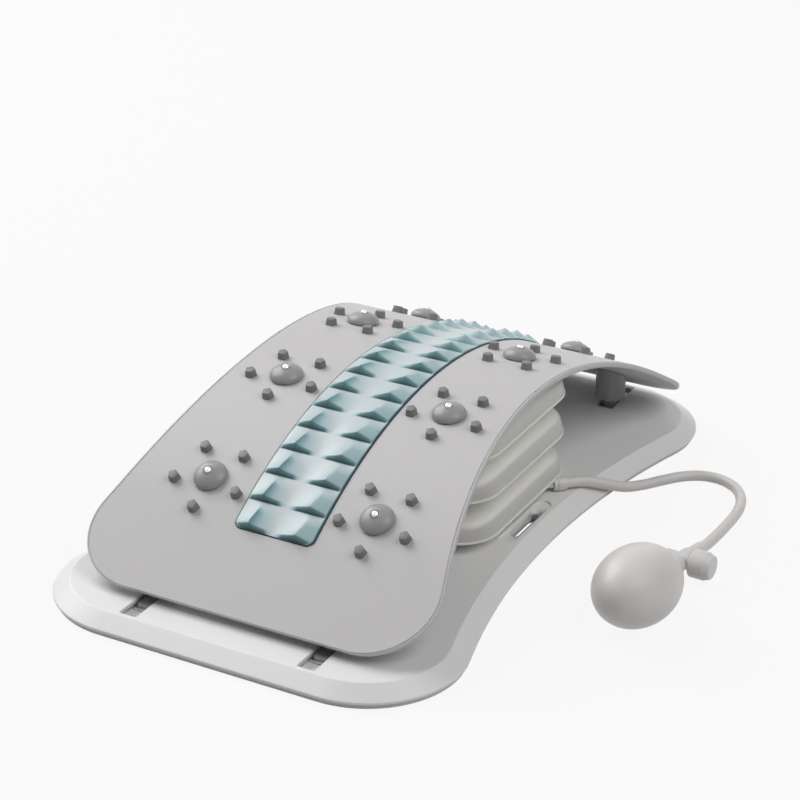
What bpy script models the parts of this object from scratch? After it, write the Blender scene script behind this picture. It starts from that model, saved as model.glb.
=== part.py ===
# Inflatable lumbar back stretcher, modelled piece by piece.
#
# A flexible board is bowed over a stack of three air chambers. Its four feet slide in slots
# of a moulded base plate, so the bow rises when the chambers are pumped up with the hand bulb
# and sinks when the release knob is opened. The model shows it fully pumped up.
#
# X runs across the back, Y along the spine, Z up. The origin is the centre of the underside.

import math

import bpy
import numpy as np
from mathutils import Matrix, Vector

MM = 0.001

# Running gap between separate pieces, and the bulb's gap above the floor it rests on
GAP = 0.3 * MM
FLOOR_GAP = 0.1 * MM

# Base plate and the anti-slip mat under it
BASE_LENGTH = 400 * MM
BASE_WAIST = 192 * MM
BASE_SIDE_RADIUS = 512 * MM
BASE_CORNER = 52 * MM
BASE_CHAMFER = 9.5 * MM
BASE_RIM = 1.0 * MM
BASE_HEIGHT = 7.0 * MM
PLATE_WALL = 2.8 * MM
SKIRT_WALL = 2.4 * MM
RIB_WIDTH = 2.0 * MM
LONG_RIBS = (-22 * MM, 22 * MM)
CROSS_RIBS = (-110 * MM, -55 * MM, 55 * MM, 110 * MM)
MAT_THICKNESS = 2.7 * MM
MAT_INSET = 1.5 * MM

# Slots that the feet slide in
SLOT_WIDTH = 10.2 * MM
SLOT_LENGTH = 35.5 * MM
SLOT_END_MARGIN = 11.2 * MM
SLOT_INNER_Y = BASE_LENGTH / 2 - SLOT_END_MARGIN - SLOT_LENGTH
FRONT_SLOT_X = 52 * MM
REAR_SLOT_X = 58 * MM
SLOT_CORNER = 1.0 * MM
POCKET_MARGIN = 4.6 * MM
POCKET_FLOOR = 0.9 * MM

# Finger slots at the waist
GRIP_LENGTH = 34 * MM
GRIP_WIDTH = 6.0 * MM
GRIP_X = 79.5 * MM
MAT_GRIP_MARGIN = 2.0 * MM
GRIP_DISH_LENGTH = 54 * MM
GRIP_DISH_WIDTH = 9.6 * MM
GRIP_DISH_DEPTH = 1.3 * MM

# Bowed board
BOARD_LENGTH = 394 * MM
BOARD_WAIST = 162 * MM
BOARD_SIDE_RADIUS = 609 * MM
BOARD_CORNER = 35 * MM
BOARD_THICKNESS = 3.0 * MM
BOARD_EDGE = 0.8 * MM
ARCH_RADIUS = 250 * MM
ARCH_ANGLE = math.radians(32.5)
CREST_HEIGHT = 85 * MM
CREST_Y = 7.0 * MM

# Ridge strip down the middle of the board
STRIP_WIDTH = 46.4 * MM
STRIP_TILES = 17
TILE_PITCH = 17.5 * MM
TILE_RISE = 4.4 * MM
TILE_FACE_RUN = 2.1 * MM
TILE_HEEL = 1.6 * MM
TILE_PEAK = 0.6
STRIP_BASE = 1.6 * MM
STRIP_CORNER = 4.0 * MM
STRIP_RECESS = 1.2 * MM
STRIP_GAP = 0.5 * MM

# Massage domes, their beads and the ring of nubs round each
DOME_X = 49.5 * MM
DOME_S = (-124.5 * MM, -42.5 * MM, 42.5 * MM, 124.5 * MM)
DOME_RADIUS = 9.2 * MM
DOME_SHARPNESS = 1.1
DOME_HEIGHT = 6.3 * MM
DOME_SKIRT = 0.8 * MM
DOME_STUD_RADIUS = 3.0 * MM
BEAD_RADIUS = 2.0 * MM
NUB_RING = 20 * MM
NUB_COUNT = 5
NUB_RADIUS = 3.3 * MM
NUB_TOP_RADIUS = 2.3 * MM
NUB_HEIGHT = 4.5 * MM
NUB_ROOT = 0.8 * MM

# Feet
SHOE_WIDTH = 9.4 * MM
SHOE_LENGTH = 21.5 * MM
SHOE_START = 0.8 * MM
SHOE_CORNER = 2.4 * MM
SHOE_INNER_Y = SLOT_INNER_Y + SHOE_START
COLLAR_SETBACK = 7.9 * MM
FOOT_Y = SHOE_INNER_Y + COLLAR_SETBACK
FOOT_TRAVEL = 7.0 * MM
SHOE_LIP = 0.8 * MM
SHOE_SINK = 1.8 * MM
STEM_RADIUS = 4.3 * MM
COLLAR_RADIUS = 9.0 * MM
COLLAR_LIFT = 4.2 * MM
CUTTER_DEPTH = 24 * MM
RETAINER_WIDTH = 15.6 * MM
RETAINER_SETBACK = 0.5 * MM
RETAINER_THICKNESS = 1.1 * MM
SCREW_RADIUS = 1.5 * MM
SCREW_HEAD_RADIUS = 3.2 * MM
SCREW_HEAD_HEIGHT = 1.4 * MM
SCREW_DEPTH = 9.0 * MM

# Air chambers
CHAMBERS = ("air_chamber_lower", "air_chamber_middle", "air_chamber_upper")
CHAMBER_WIDTH = 158 * MM
CHAMBER_LENGTH = 124 * MM
CHAMBER_CORNER = 25 * MM
CHAMBER_SIDE_RADIUS = 20.0
CHAMBER_WALL = 1.0 * MM
PORT_BORE = 3.0 * MM
CHAMBER_Y = 5.0 * MM
WELD_WIDTH = 4.5 * MM
WELD_THICKNESS = 1.2 * MM
CROWN_RUN = 17 * MM
UPPER_CLEARANCE = 0.5 * MM
SPOUT_RADIUS = 4.0 * MM
SPOUT_LENGTH = 16 * MM
SPOUT_REACH = 21 * MM

# Hose from the bag port over the edge of the base and round to the hand bulb on the floor.
# It leaves the port's mouth straight. The other points of its centre line are given from the
# port's mouth in X and Y and from the floor in Z, in millimetres.
HOSE_RADIUS = 3.0 * MM
PORT_MOUTH_X = CHAMBER_WIDTH / 2 + 4 * MM
PORT_MOUTH_Y = CHAMBER_Y + 40 * MM
PORT_HEIGHT = 4 * MM
PORT_HEADING = math.radians(45)
HOSE_LEAD = 5.6 * MM
HOSE_ROUTE = (
    (8.5, 8.6, 13.3),
    (16.0, 17.0, 9.7),
    (24.0, 27.0, 5.4),
    (31.0, 38.0, 3.6),
    (38.0, 49.0, 3.2),
    (46.0, 59.0, 3.2),
    (56.0, 65.5, 3.2),
    (67.0, 66.0, 3.2),
    (77.0, 61.0, 3.2),
    (84.0, 52.0, 3.2),
    (88.0, 41.0, 3.2),
    (89.5, 29.0, 3.2),
    (89.6, 16.0, 3.2),
    (89.3, 3.0, 3.3),
    (88.9, -9.0, 3.9),
    (88.5, -19.0, 5.5),
)
PORT_RADIUS = 4.4 * MM
CUP_LENGTH = 8.0 * MM
SPIGOT_BORE = 1.8 * MM
SLEEVE_RADIUS = 3.7 * MM
SLEEVE_LENGTH = 16 * MM

# Valve and hand bulb. Their axis leaves the hose's end and rises towards the bulb.
VALVE_HEADING = math.radians(-92.3)
VALVE_RADIUS = 4.2 * MM
VALVE_LENGTH = 16 * MM
SHOULDER_RADIUS = 6.6 * MM
SHOULDER_LENGTH = 5 * MM
SPIGOT_RADIUS = 4.3 * MM
SPIGOT_LENGTH = 9 * MM
STUB_RADIUS = 3.9 * MM
STUB_LENGTH = 9.6 * MM
BOSS_RADIUS = 4.6 * MM
BOSS_LENGTH = 5.6 * MM
CROSS_HEIGHT = 9.5 * MM
KNOB_RADIUS = 7.7 * MM
KNOB_LENGTH = 12 * MM
KNOB_RIBS = 20
KNOB_RIB_DEPTH = 0.45 * MM
NEEDLE_RADIUS = 1.6 * MM
NEEDLE_LENGTH = 14 * MM
NEEDLE_SEAT = 2.2 * MM
BULB_RADIUS = 21.3 * MM
BULB_LENGTH = 77 * MM
BULB_NECK_RADIUS = 7.0 * MM
BULB_NECK_LENGTH = 7.0 * MM
BULB_BELLY = 0.54
BULB_WALL = 2.2 * MM

PLATE_TOP = MAT_THICKNESS + GAP + BASE_HEIGHT
PLATE_UNDER = PLATE_TOP - PLATE_WALL
BASE_FOOT = MAT_THICKNESS + GAP
SHOE_LOW = PLATE_UNDER - SHOE_LIP
RETAINER_LOW = SHOE_LOW - GAP - RETAINER_THICKNESS


def clear_scene():
    for old in list(bpy.data.objects):
        bpy.data.objects.remove(old, do_unlink=True)


def plastic(name, colour, roughness, metallic=0.0):
    mat = bpy.data.materials.new(name)
    mat.use_nodes = True
    shader = mat.node_tree.nodes["Principled BSDF"]
    shader.inputs["Base Color"].default_value = (*colour, 1.0)
    shader.inputs["Roughness"].default_value = roughness
    shader.inputs["Metallic"].default_value = metallic
    mat.diffuse_color = (*colour, 1.0)
    return mat


def add_object(name, verts, faces, mat=None, smooth_angle=30):
    mesh = bpy.data.meshes.new(name)
    mesh.from_pydata([tuple(v) for v in verts], [], faces)
    mesh.update()
    if smooth_angle:
        mesh.shade_smooth()
        mesh.set_sharp_from_angle(angle=math.radians(smooth_angle))
    if mat:
        mesh.materials.append(mat)
    obj = bpy.data.objects.new(name, mesh)
    bpy.context.scene.collection.objects.link(obj)
    return obj


def make_cutter(obj):
    obj.hide_render = True
    obj.display_type = "WIRE"
    return obj


def boolean(obj, tool, operation):
    mod = obj.modifiers.new(operation.lower() + "_" + tool.name, "BOOLEAN")
    mod.operation = operation
    mod.solver = "EXACT"
    mod.object = tool
    return mod


def outline_rows(waist, side_radius, corner, length, side_rows=10, corner_rows=7):
    """Half-widths along an outline with hollow sides and round corners.

    The side is an arc whose centre lies outside the outline, and the corner arc touches both
    it and the straight end, so every value follows from the four sizes.
    """
    side_centre = waist / 2 + side_radius
    corner_y = length / 2 - corner
    reach = math.sqrt((side_radius + corner) ** 2 - corner_y**2)
    corner_x = side_centre - reach
    meet = math.atan2(corner_y, reach)
    side = np.linspace(0, meet, side_rows + 1)
    turn = np.linspace(-meet, math.pi / 2, corner_rows + 1)[1:]
    y = np.concatenate([side_radius * np.sin(side), corner_y + corner * np.sin(turn)])
    x = np.concatenate([side_centre - side_radius * np.cos(side), corner_x + corner * np.cos(turn)])
    return np.concatenate([-y[:0:-1], y]), np.concatenate([x[:0:-1], x])


def inset_rows(size, inset, **rows):
    """The same outline, drawn in by an even distance."""
    waist, side_radius, corner, length = size
    return outline_rows(waist - 2 * inset, side_radius + inset, corner - inset, length - 2 * inset, **rows)


def plain_rows(width, corner, length, corner_rows=5, side_rows=1):
    """Half-widths along a rectangle with round corners."""
    turn = np.linspace(0, math.pi / 2, corner_rows + 1)
    y = length / 2 - corner + corner * np.sin(turn)
    x = width / 2 - corner + corner * np.cos(turn)
    if side_rows:
        y = np.concatenate([np.linspace(0, y[0], side_rows + 1)[:-1], y])
        x = np.concatenate([np.full(side_rows, x[0]), x])
    return np.concatenate([-y[:0:-1], y]), np.concatenate([x[:0:-1], x])


def edge_loop(rows, columns):
    """Indices round the border of a grid, anticlockwise seen from above."""
    front = [c for c in range(columns + 1)]
    right = [r * (columns + 1) + columns for r in range(1, rows)]
    back = [(rows - 1) * (columns + 1) + c for c in range(columns - 1, -1, -1)]
    left = [r * (columns + 1) for r in range(rows - 2, 0, -1)]
    return front + right + back + left


def lofted_sheet(name, levels, place, mat=None, columns=8, smooth_angle=30):
    """A closed solid from the bottom outline to the top one.

    levels holds pairs of outline rows and height. The first and last become grids that close
    the solid, and those between are loops round its edge. place maps x, y and the height into
    the world, so that the same outline can lie flat or follow the bow.
    """
    count = len(levels[0][0][0])
    share = np.linspace(-1, 1, columns + 1)
    loop = edge_loop(count, columns)
    verts, faces, rings = [], [], []
    for index, ((y, half), height) in enumerate(levels):
        grid_x = (half[:, None] * share[None, :]).ravel()
        grid_y = np.repeat(y, columns + 1)
        start = len(verts)
        if index in (0, len(levels) - 1):
            verts += [place(gx, gy, height) for gx, gy in zip(grid_x, grid_y)]
            rings.append([start + i for i in loop])
            for r in range(count - 1):
                for c in range(columns):
                    a = start + r * (columns + 1) + c
                    quad = (a, a + 1, a + columns + 2, a + columns + 1)
                    faces.append(quad if index else quad[::-1])
        else:
            verts += [place(grid_x[i], grid_y[i], height) for i in loop]
            rings.append(list(range(start, start + len(loop))))
    for low, high in zip(rings, rings[1:]):
        for i in range(len(loop)):
            j = (i + 1) % len(loop)
            faces.append((low[i], low[j], high[j], high[i]))
    return add_object(name, verts, faces, mat, smooth_angle)


def flat_solid(name, levels, mat=None, smooth_angle=30):
    """A closed solid between flat outlines, each closed by one face."""
    verts, faces, rings = [], [], []
    for (y, half), z in levels:
        start = len(verts)
        verts += [(w, v, z) for v, w in zip(y, half)]
        verts += [(-w, v, z) for v, w in zip(y[::-1], half[::-1])]
        rings.append(list(range(start, len(verts))))
    faces.append(tuple(rings[0][::-1]))
    faces.append(tuple(rings[-1]))
    for low, high in zip(rings, rings[1:]):
        for i in range(len(low)):
            j = (i + 1) % len(low)
            faces.append((low[i], low[j], high[j], high[i]))
    return add_object(name, verts, faces, mat, smooth_angle)


def stadium(length, width, segments=6):
    """A slot's outline along Y, centred on the origin."""
    r = width / 2
    run = length / 2 - r
    top = np.linspace(0, math.pi, segments + 1)
    pts = [(r * math.cos(a), run + r * math.sin(a)) for a in top]
    pts += [(r * math.cos(a), -run + r * math.sin(a)) for a in top + math.pi]
    return pts


def prism(name, outline, low, high, mat=None, at=(0, 0), smooth_angle=30):
    n = len(outline)
    verts = [(x + at[0], y + at[1], low) for x, y in outline]
    verts += [(x + at[0], y + at[1], high) for x, y in outline]
    faces = [tuple(range(n))[::-1], tuple(range(n, 2 * n))]
    faces += [(i, (i + 1) % n, n + (i + 1) % n, n + i) for i in range(n)]
    return add_object(name, verts, faces, mat, smooth_angle)


def box_solid(name, boxes, mat=None):
    """Separate blocks in one cutter; each block is its two opposite corners."""
    verts, faces = [], []
    for (x0, y0, z0), (x1, y1, z1) in boxes:
        k = len(verts)
        verts += [(x0, y0, z0), (x1, y0, z0), (x1, y1, z0), (x0, y1, z0)]
        verts += [(x0, y0, z1), (x1, y0, z1), (x1, y1, z1), (x0, y1, z1)]
        faces += [(k, k + 3, k + 2, k + 1), (k + 4, k + 5, k + 6, k + 7), (k, k + 1, k + 5, k + 4)]
        faces += [(k + 1, k + 2, k + 6, k + 5), (k + 2, k + 3, k + 7, k + 6), (k + 3, k, k + 4, k + 7)]
    return add_object(name, verts, faces, mat, 0)


def turned(name, profile, segments=24, mat=None, matrix=None, smooth_angle=30):
    """A solid of revolution about Z from (radius, height) points, bottom to top.

    A radius of zero at an end closes it with a pole; other ends are closed by a flat face.
    """
    verts, faces, rings = [], [], []
    for radius, height in profile:
        if radius == 0:
            rings.append([len(verts)])
            verts.append(Vector((0, 0, height)))
            continue
        rings.append(list(range(len(verts), len(verts) + segments)))
        for k in range(segments):
            a = 2 * math.pi * k / segments
            verts.append(Vector((radius * math.cos(a), radius * math.sin(a), height)))
    for low, high in zip(rings, rings[1:]):
        for k in range(segments):
            j = (k + 1) % segments
            if len(low) == 1:
                faces.append((low[0], high[j], high[k]))
            elif len(high) == 1:
                faces.append((low[k], low[j], high[0]))
            else:
                faces.append((low[k], low[j], high[j], high[k]))
    if len(rings[0]) > 1:
        faces.append(tuple(rings[0][::-1]))
    if len(rings[-1]) > 1:
        faces.append(tuple(rings[-1]))
    if matrix is not None:
        verts = [matrix @ v for v in verts]
    return add_object(name, verts, faces, mat, smooth_angle)


def bow(s, lift=0.0):
    """Place and tilt of the board's top face at arc length s from its crest."""
    limit = ARCH_RADIUS * ARCH_ANGLE
    bent = max(-limit, min(limit, s))
    angle = bent / ARCH_RADIUS
    straight = s - bent
    y = ARCH_RADIUS * math.sin(angle) + straight * math.cos(angle)
    z = -ARCH_RADIUS * (1 - math.cos(angle)) - straight * math.sin(angle)
    return CREST_Y + y + lift * math.sin(angle), CREST_HEIGHT + z + lift * math.cos(angle), angle


def on_bow(x, s, lift):
    y, z, _ = bow(s, lift)
    return (x, y, z)


def arc_length_at(y):
    """Arc length of the point of the board that lies over y."""
    offset = abs(y - CREST_Y)
    bent = ARCH_RADIUS * math.sin(ARCH_ANGLE)
    if offset <= bent:
        s = ARCH_RADIUS * math.asin(offset / ARCH_RADIUS)
    else:
        s = ARCH_RADIUS * ARCH_ANGLE + (offset - bent) / math.cos(ARCH_ANGLE)
    return math.copysign(s, y - CREST_Y)


def bow_matrix(x, s, lift=0.0):
    """Frame on the board's top face: Z is the face's normal, Y runs along the spine."""
    y, z, angle = bow(s, lift)
    return Matrix.Translation((x, y, z)) @ Matrix.Rotation(-angle, 4, "X")


def underside_at(y):
    """Height of the board's underside over y."""
    s = arc_length_at(y)
    for _ in range(4):
        at_y, z, _ = bow(s, -BOARD_THICKNESS)
        s += y - at_y
    return bow(s, -BOARD_THICKNESS)[1]


BASE_SIZE = (BASE_WAIST, BASE_SIDE_RADIUS, BASE_CORNER, BASE_LENGTH)
BOARD_SIZE = (BOARD_WAIST, BOARD_SIDE_RADIUS, BOARD_CORNER, BOARD_LENGTH)
FEET = {
    "front_left": (-FRONT_SLOT_X, -1),
    "front_right": (FRONT_SLOT_X, -1),
    "rear_left": (-REAR_SLOT_X, 1),
    "rear_right": (REAR_SLOT_X, 1),
}


def slot_centre(end):
    return end * (SLOT_INNER_Y + SLOT_LENGTH / 2)


def blunt_block(length, width, corner):
    """A rectangle along Y whose corners are cut off at 45 degrees."""
    x, y = width / 2, length / 2
    right = [(x, -y + corner), (x, y - corner), (x - corner, y)]
    left = [(-x + corner, y), (-x, y - corner), (-x, -y + corner)]
    return right + left + [(-x + corner, -y), (x - corner, -y)]


def slot_cutters(name, margin, low, high):
    """Cutters for the four foot slots, each wider than the slot by a margin."""
    outline = blunt_block(SLOT_LENGTH + 2 * margin, SLOT_WIDTH + 2 * margin, SLOT_CORNER)
    made = []
    for foot, (x, end) in FEET.items():
        cutter = prism(f"{name}_{foot}", outline, low, high, at=(x, slot_centre(end)))
        made.append(make_cutter(cutter))
    return made


def grip_cutters(name, length, width, low, high):
    outline = stadium(length, width)
    made = []
    for side, x in (("left", -GRIP_X), ("right", GRIP_X)):
        made.append(make_cutter(prism(f"{name}_{side}", outline, low, high, at=(x, 0))))
    return made


def make_base_plate(mat):
    skirt_top = PLATE_TOP - 0.5 * MM
    plate = flat_solid(
        "base_plate",
        [
            (inset_rows(BASE_SIZE, 0), BASE_FOOT),
            (inset_rows(BASE_SIZE, 0), BASE_FOOT + BASE_RIM),
            (inset_rows(BASE_SIZE, BASE_CHAMFER - 0.9 * MM), skirt_top),
            (inset_rows(BASE_SIZE, BASE_CHAMFER), PLATE_TOP),
        ],
        mat,
    )
    hollow = flat_solid(
        "base_hollow",
        [
            (inset_rows(BASE_SIZE, SKIRT_WALL), BASE_FOOT - 1 * MM),
            (inset_rows(BASE_SIZE, SKIRT_WALL + 0.4 * MM), BASE_FOOT + BASE_RIM),
            (inset_rows(BASE_SIZE, BASE_CHAMFER), PLATE_UNDER),
        ],
    )
    for tool in make_ribs():
        boolean(hollow, tool, "DIFFERENCE")
    boolean(plate, make_cutter(hollow), "DIFFERENCE")
    for tool in slot_cutters("slot", 0, RETAINER_LOW, PLATE_TOP + 2 * MM):
        boolean(plate, tool, "DIFFERENCE")
    above = PLATE_TOP + 2 * MM
    dish_floor = PLATE_TOP - GRIP_DISH_DEPTH
    for tool in grip_cutters("grip_dish", GRIP_DISH_LENGTH, GRIP_DISH_WIDTH, dish_floor, above):
        boolean(plate, tool, "DIFFERENCE")
    for tool in grip_cutters("grip", GRIP_LENGTH, GRIP_WIDTH, BASE_FOOT - 2 * MM, above):
        boolean(plate, tool, "DIFFERENCE")
    return plate


def make_ribs():
    """Ribs under the plate, clear of the pockets that the retainers slide in."""
    low = BASE_FOOT
    high = PLATE_UNDER + 1 * MM
    half_rib = RIB_WIDTH / 2
    pocket_start = SLOT_INNER_Y - POCKET_MARGIN
    pocket_half = SLOT_WIDTH / 2 + POCKET_MARGIN
    end_y = BASE_LENGTH / 2
    long_ribs = [((x - half_rib, -end_y, low), (x + half_rib, end_y, high)) for x in LONG_RIBS]
    cross_ribs = [((-BASE_WAIST, y - half_rib, low), (BASE_WAIST, y + half_rib, high)) for y in CROSS_RIBS]
    walls = []
    for x, end in FEET.values():
        near = end * (pocket_start - RIB_WIDTH)
        far = end * BASE_LENGTH / 2
        for side in (-1, 1):
            edge = sorted((x + side * pocket_half, x + side * (pocket_half + RIB_WIDTH)))
            walls.append(((edge[0], min(near, far), low), (edge[1], max(near, far), high)))
    bridges = []
    for x, end in FEET.values():
        ends = sorted((end * pocket_start, end * (pocket_start - RIB_WIDTH)))
        reach = pocket_half + half_rib
        bridges.append(((x - reach, ends[0], low), (x + reach, ends[1], high)))
    made = {"ribs_long": long_ribs, "ribs_cross": cross_ribs, "ribs_pocket": walls, "ribs_bridge": bridges}
    made["pocket_floors"] = pocket_floors(pocket_half + half_rib)
    return [make_cutter(box_solid(name, boxes)) for name, boxes in made.items()]


def pocket_floors(reach):
    """Floors under the outer part of the slots, clear of the retainers and their screws."""
    start = FOOT_Y + FOOT_TRAVEL + SCREW_HEAD_RADIUS + 0.8 * MM
    high = RETAINER_LOW - GAP
    made = []
    for x, end in FEET.values():
        near, far = sorted((end * start, end * BASE_LENGTH / 2))
        made.append(((x - reach, near, high - POCKET_FLOOR), (x + reach, far, high)))
    return made


def make_mat(mat):
    pad = flat_solid(
        "anti_slip_mat",
        [(inset_rows(BASE_SIZE, MAT_INSET), 0), (inset_rows(BASE_SIZE, MAT_INSET), MAT_THICKNESS)],
        mat,
    )
    for tool in slot_cutters("mat_slot", POCKET_MARGIN - 1 * MM, -1 * MM, BASE_FOOT + 1 * MM):
        boolean(pad, tool, "DIFFERENCE")
    wide, long = GRIP_WIDTH + 2 * MAT_GRIP_MARGIN, GRIP_LENGTH + 2 * MAT_GRIP_MARGIN
    for tool in grip_cutters("mat_grip", long, wide, -1 * MM, BASE_FOOT + 1 * MM):
        boolean(pad, tool, "DIFFERENCE")
    return pad


def make_board(mat):
    rows = {"side_rows": 17, "corner_rows": 6}
    inner = inset_rows(BOARD_SIZE, BOARD_EDGE, **rows)
    full = inset_rows(BOARD_SIZE, 0, **rows)
    board = lofted_sheet(
        "arch_board",
        [
            (inner, -BOARD_THICKNESS),
            (full, -BOARD_THICKNESS + BOARD_EDGE),
            (full, -BOARD_EDGE),
            (inner, 0.0),
        ],
        on_bow,
        mat,
        columns=6,
    )
    boolean(board, make_strip_pocket(), "DIFFERENCE")
    boolean(board, make_stud_holes(), "DIFFERENCE")
    boolean(board, make_nubs(), "UNION")
    return board


def make_strip_pocket():
    width = STRIP_WIDTH + 2 * STRIP_GAP
    length = STRIP_TILES * TILE_PITCH + 2 * STRIP_GAP
    rows = plain_rows(width, STRIP_CORNER + STRIP_GAP, length, corner_rows=3, side_rows=14)
    levels = [(rows, -STRIP_RECESS), (rows, 3 * MM)]
    return make_cutter(lofted_sheet("strip_pocket", levels, on_bow, columns=2))


def dome_places():
    return [(side * DOME_X, s) for s in DOME_S for side in (-1, 1)]


def join_turned(name, profile, segments, matrices):
    """Separate turned bodies in one cutter."""
    verts, faces = [], []
    for k, matrix in enumerate(matrices):
        part = turned(f"{name}_{k}", profile, segments, matrix=matrix, smooth_angle=0)
        start = len(verts)
        verts += [v.co.copy() for v in part.data.vertices]
        faces += [tuple(start + i for i in poly.vertices) for poly in part.data.polygons]
        bpy.data.objects.remove(part, do_unlink=True)
    return make_cutter(add_object(name, verts, faces, smooth_angle=0))


def make_stud_holes():
    radius = DOME_STUD_RADIUS + GAP
    depth = BOARD_THICKNESS + 2 * MM
    profile = [(radius, -depth), (radius, 2 * MM)]
    return join_turned("stud_holes", profile, 12, [bow_matrix(x, s) for x, s in dome_places()])


def make_nubs():
    """Five-sided nubs in a ring round each dome, one of them pointing to the board's nearer end."""
    profile = [(NUB_RADIUS, -NUB_ROOT), (NUB_RADIUS * 0.96, 0.5 * MM), (NUB_TOP_RADIUS, NUB_HEIGHT)]
    places = []
    for x, s in dome_places():
        for k in range(NUB_COUNT):
            a = math.copysign(math.pi / 2, s) + 2 * math.pi * k / NUB_COUNT
            places.append(bow_matrix(x + NUB_RING * math.cos(a), s + NUB_RING * math.sin(a)))
    return join_turned("nubs", profile, 5, places)


def tile_shape(u):
    """Height across a tile as a share of its rise: flat outer flanks, hollow middle."""
    if abs(u) >= TILE_PEAK:
        return (1 - abs(u)) / (1 - TILE_PEAK)
    return (abs(u) / TILE_PEAK) ** 1.7


def strip_half_width(s):
    """Half-width of the strip at arc length s, with its round corners."""
    half = STRIP_WIDTH / 2
    into_corner = abs(s) - (STRIP_TILES * TILE_PITCH / 2 - STRIP_CORNER)
    if into_corner <= 0:
        return half
    return half - STRIP_CORNER + math.sqrt(max(STRIP_CORNER**2 - into_corner**2, 0))


def strip_rows():
    """Arc lengths along the strip, each with the share of the rise its tile has there."""
    start = -STRIP_TILES * TILE_PITCH / 2
    rows = [(start, 0.2), (start + TILE_FACE_RUN, 1.0), (start + STRIP_CORNER, 0.9)]
    rows += [(start + TILE_PITCH - TILE_HEEL, 0.05)]
    for k in range(1, STRIP_TILES):
        s = start + k * TILE_PITCH
        rows += [(s, 0.0), (s + TILE_FACE_RUN, 1.0)]
        if k < STRIP_TILES - 1:
            rows.append((s + TILE_PITCH - TILE_HEEL, 0.05))
    end = -start
    return rows + [(end - STRIP_CORNER, 0.2), (end - 0.4 * STRIP_CORNER, 0.05), (end, 0.0)]


def make_strip(mat):
    """Ridge tiles: each rises at its lower end on a leaning face and slopes down to the next."""
    peak = TILE_PEAK
    across = [-1, -peak, -0.66 * peak, -0.33 * peak, 0, 0.33 * peak, 0.66 * peak, peak, 1]
    floor = -STRIP_RECESS + GAP
    width = 2 + len(across)
    verts, faces = [], []
    rows = strip_rows()
    for s, share in rows:
        half = strip_half_width(s)
        verts += [on_bow(-half, s, floor), on_bow(half, s, floor)]
        rise = TILE_RISE * share
        verts += [on_bow(half * u, s, floor + STRIP_BASE + rise * tile_shape(u)) for u in across]
    for r in range(len(rows) - 1):
        a = r * width
        b = a + width
        faces += [(a, b, b + 1, a + 1), (a, a + 2, b + 2, b), (a + 1, b + 1, b + width - 1, b - 1)]
        faces += [(a + c, a + c + 1, b + c + 1, b + c) for c in range(2, width - 1)]
    last = (len(rows) - 1) * width
    faces.append((0, 1) + tuple(range(width - 1, 1, -1)))
    faces.append((last + 1, last) + tuple(range(last + 2, last + width)))
    return add_object("spine_strip", verts, faces, mat, 25)


def make_domes(dome_mat, bead_mat):
    """A rubber dome on a stud through the board, with a hard bead set in its top."""
    foot = GAP + DOME_SKIRT
    rise = DOME_HEIGHT - DOME_SKIRT
    turn = np.linspace(0, math.pi / 2, 6)
    skin = [(DOME_RADIUS * math.cos(a) ** DOME_SHARPNESS, foot + rise * math.sin(a)) for a in turn]
    seat_radius = BEAD_RADIUS + GAP
    seat_floor = DOME_HEIGHT - 1.6 * MM
    skin = [p for p in skin if p[0] > seat_radius + 0.4 * MM]
    rim = DOME_HEIGHT + GAP - 0.12 * MM
    stud_end = -BOARD_THICKNESS + GAP
    profile = [(DOME_STUD_RADIUS, stud_end), (DOME_STUD_RADIUS, GAP), (DOME_RADIUS * 0.97, GAP)]
    profile += skin + [(seat_radius, rim), (seat_radius, seat_floor), (0, seat_floor)]
    bead_low = seat_floor + GAP
    bead_top = DOME_HEIGHT + 1.1 * MM
    bead = [(0, bead_low), (BEAD_RADIUS, bead_low), (BEAD_RADIUS, DOME_HEIGHT)]
    bead += [(BEAD_RADIUS * 0.72, DOME_HEIGHT + 0.75 * MM), (0, bead_top)]
    rows = ("lower", "lower_mid", "upper_mid", "upper")
    names = [f"{row}_{side}" for row in rows for side in ("left", "right")]
    for name, (x, s) in zip(names, dome_places()):
        frame = bow_matrix(x, s)
        turned(f"massage_dome_{name}", profile, 20, dome_mat, frame)
        turned(f"dome_bead_{name}", bead, 12, bead_mat, frame)


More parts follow.
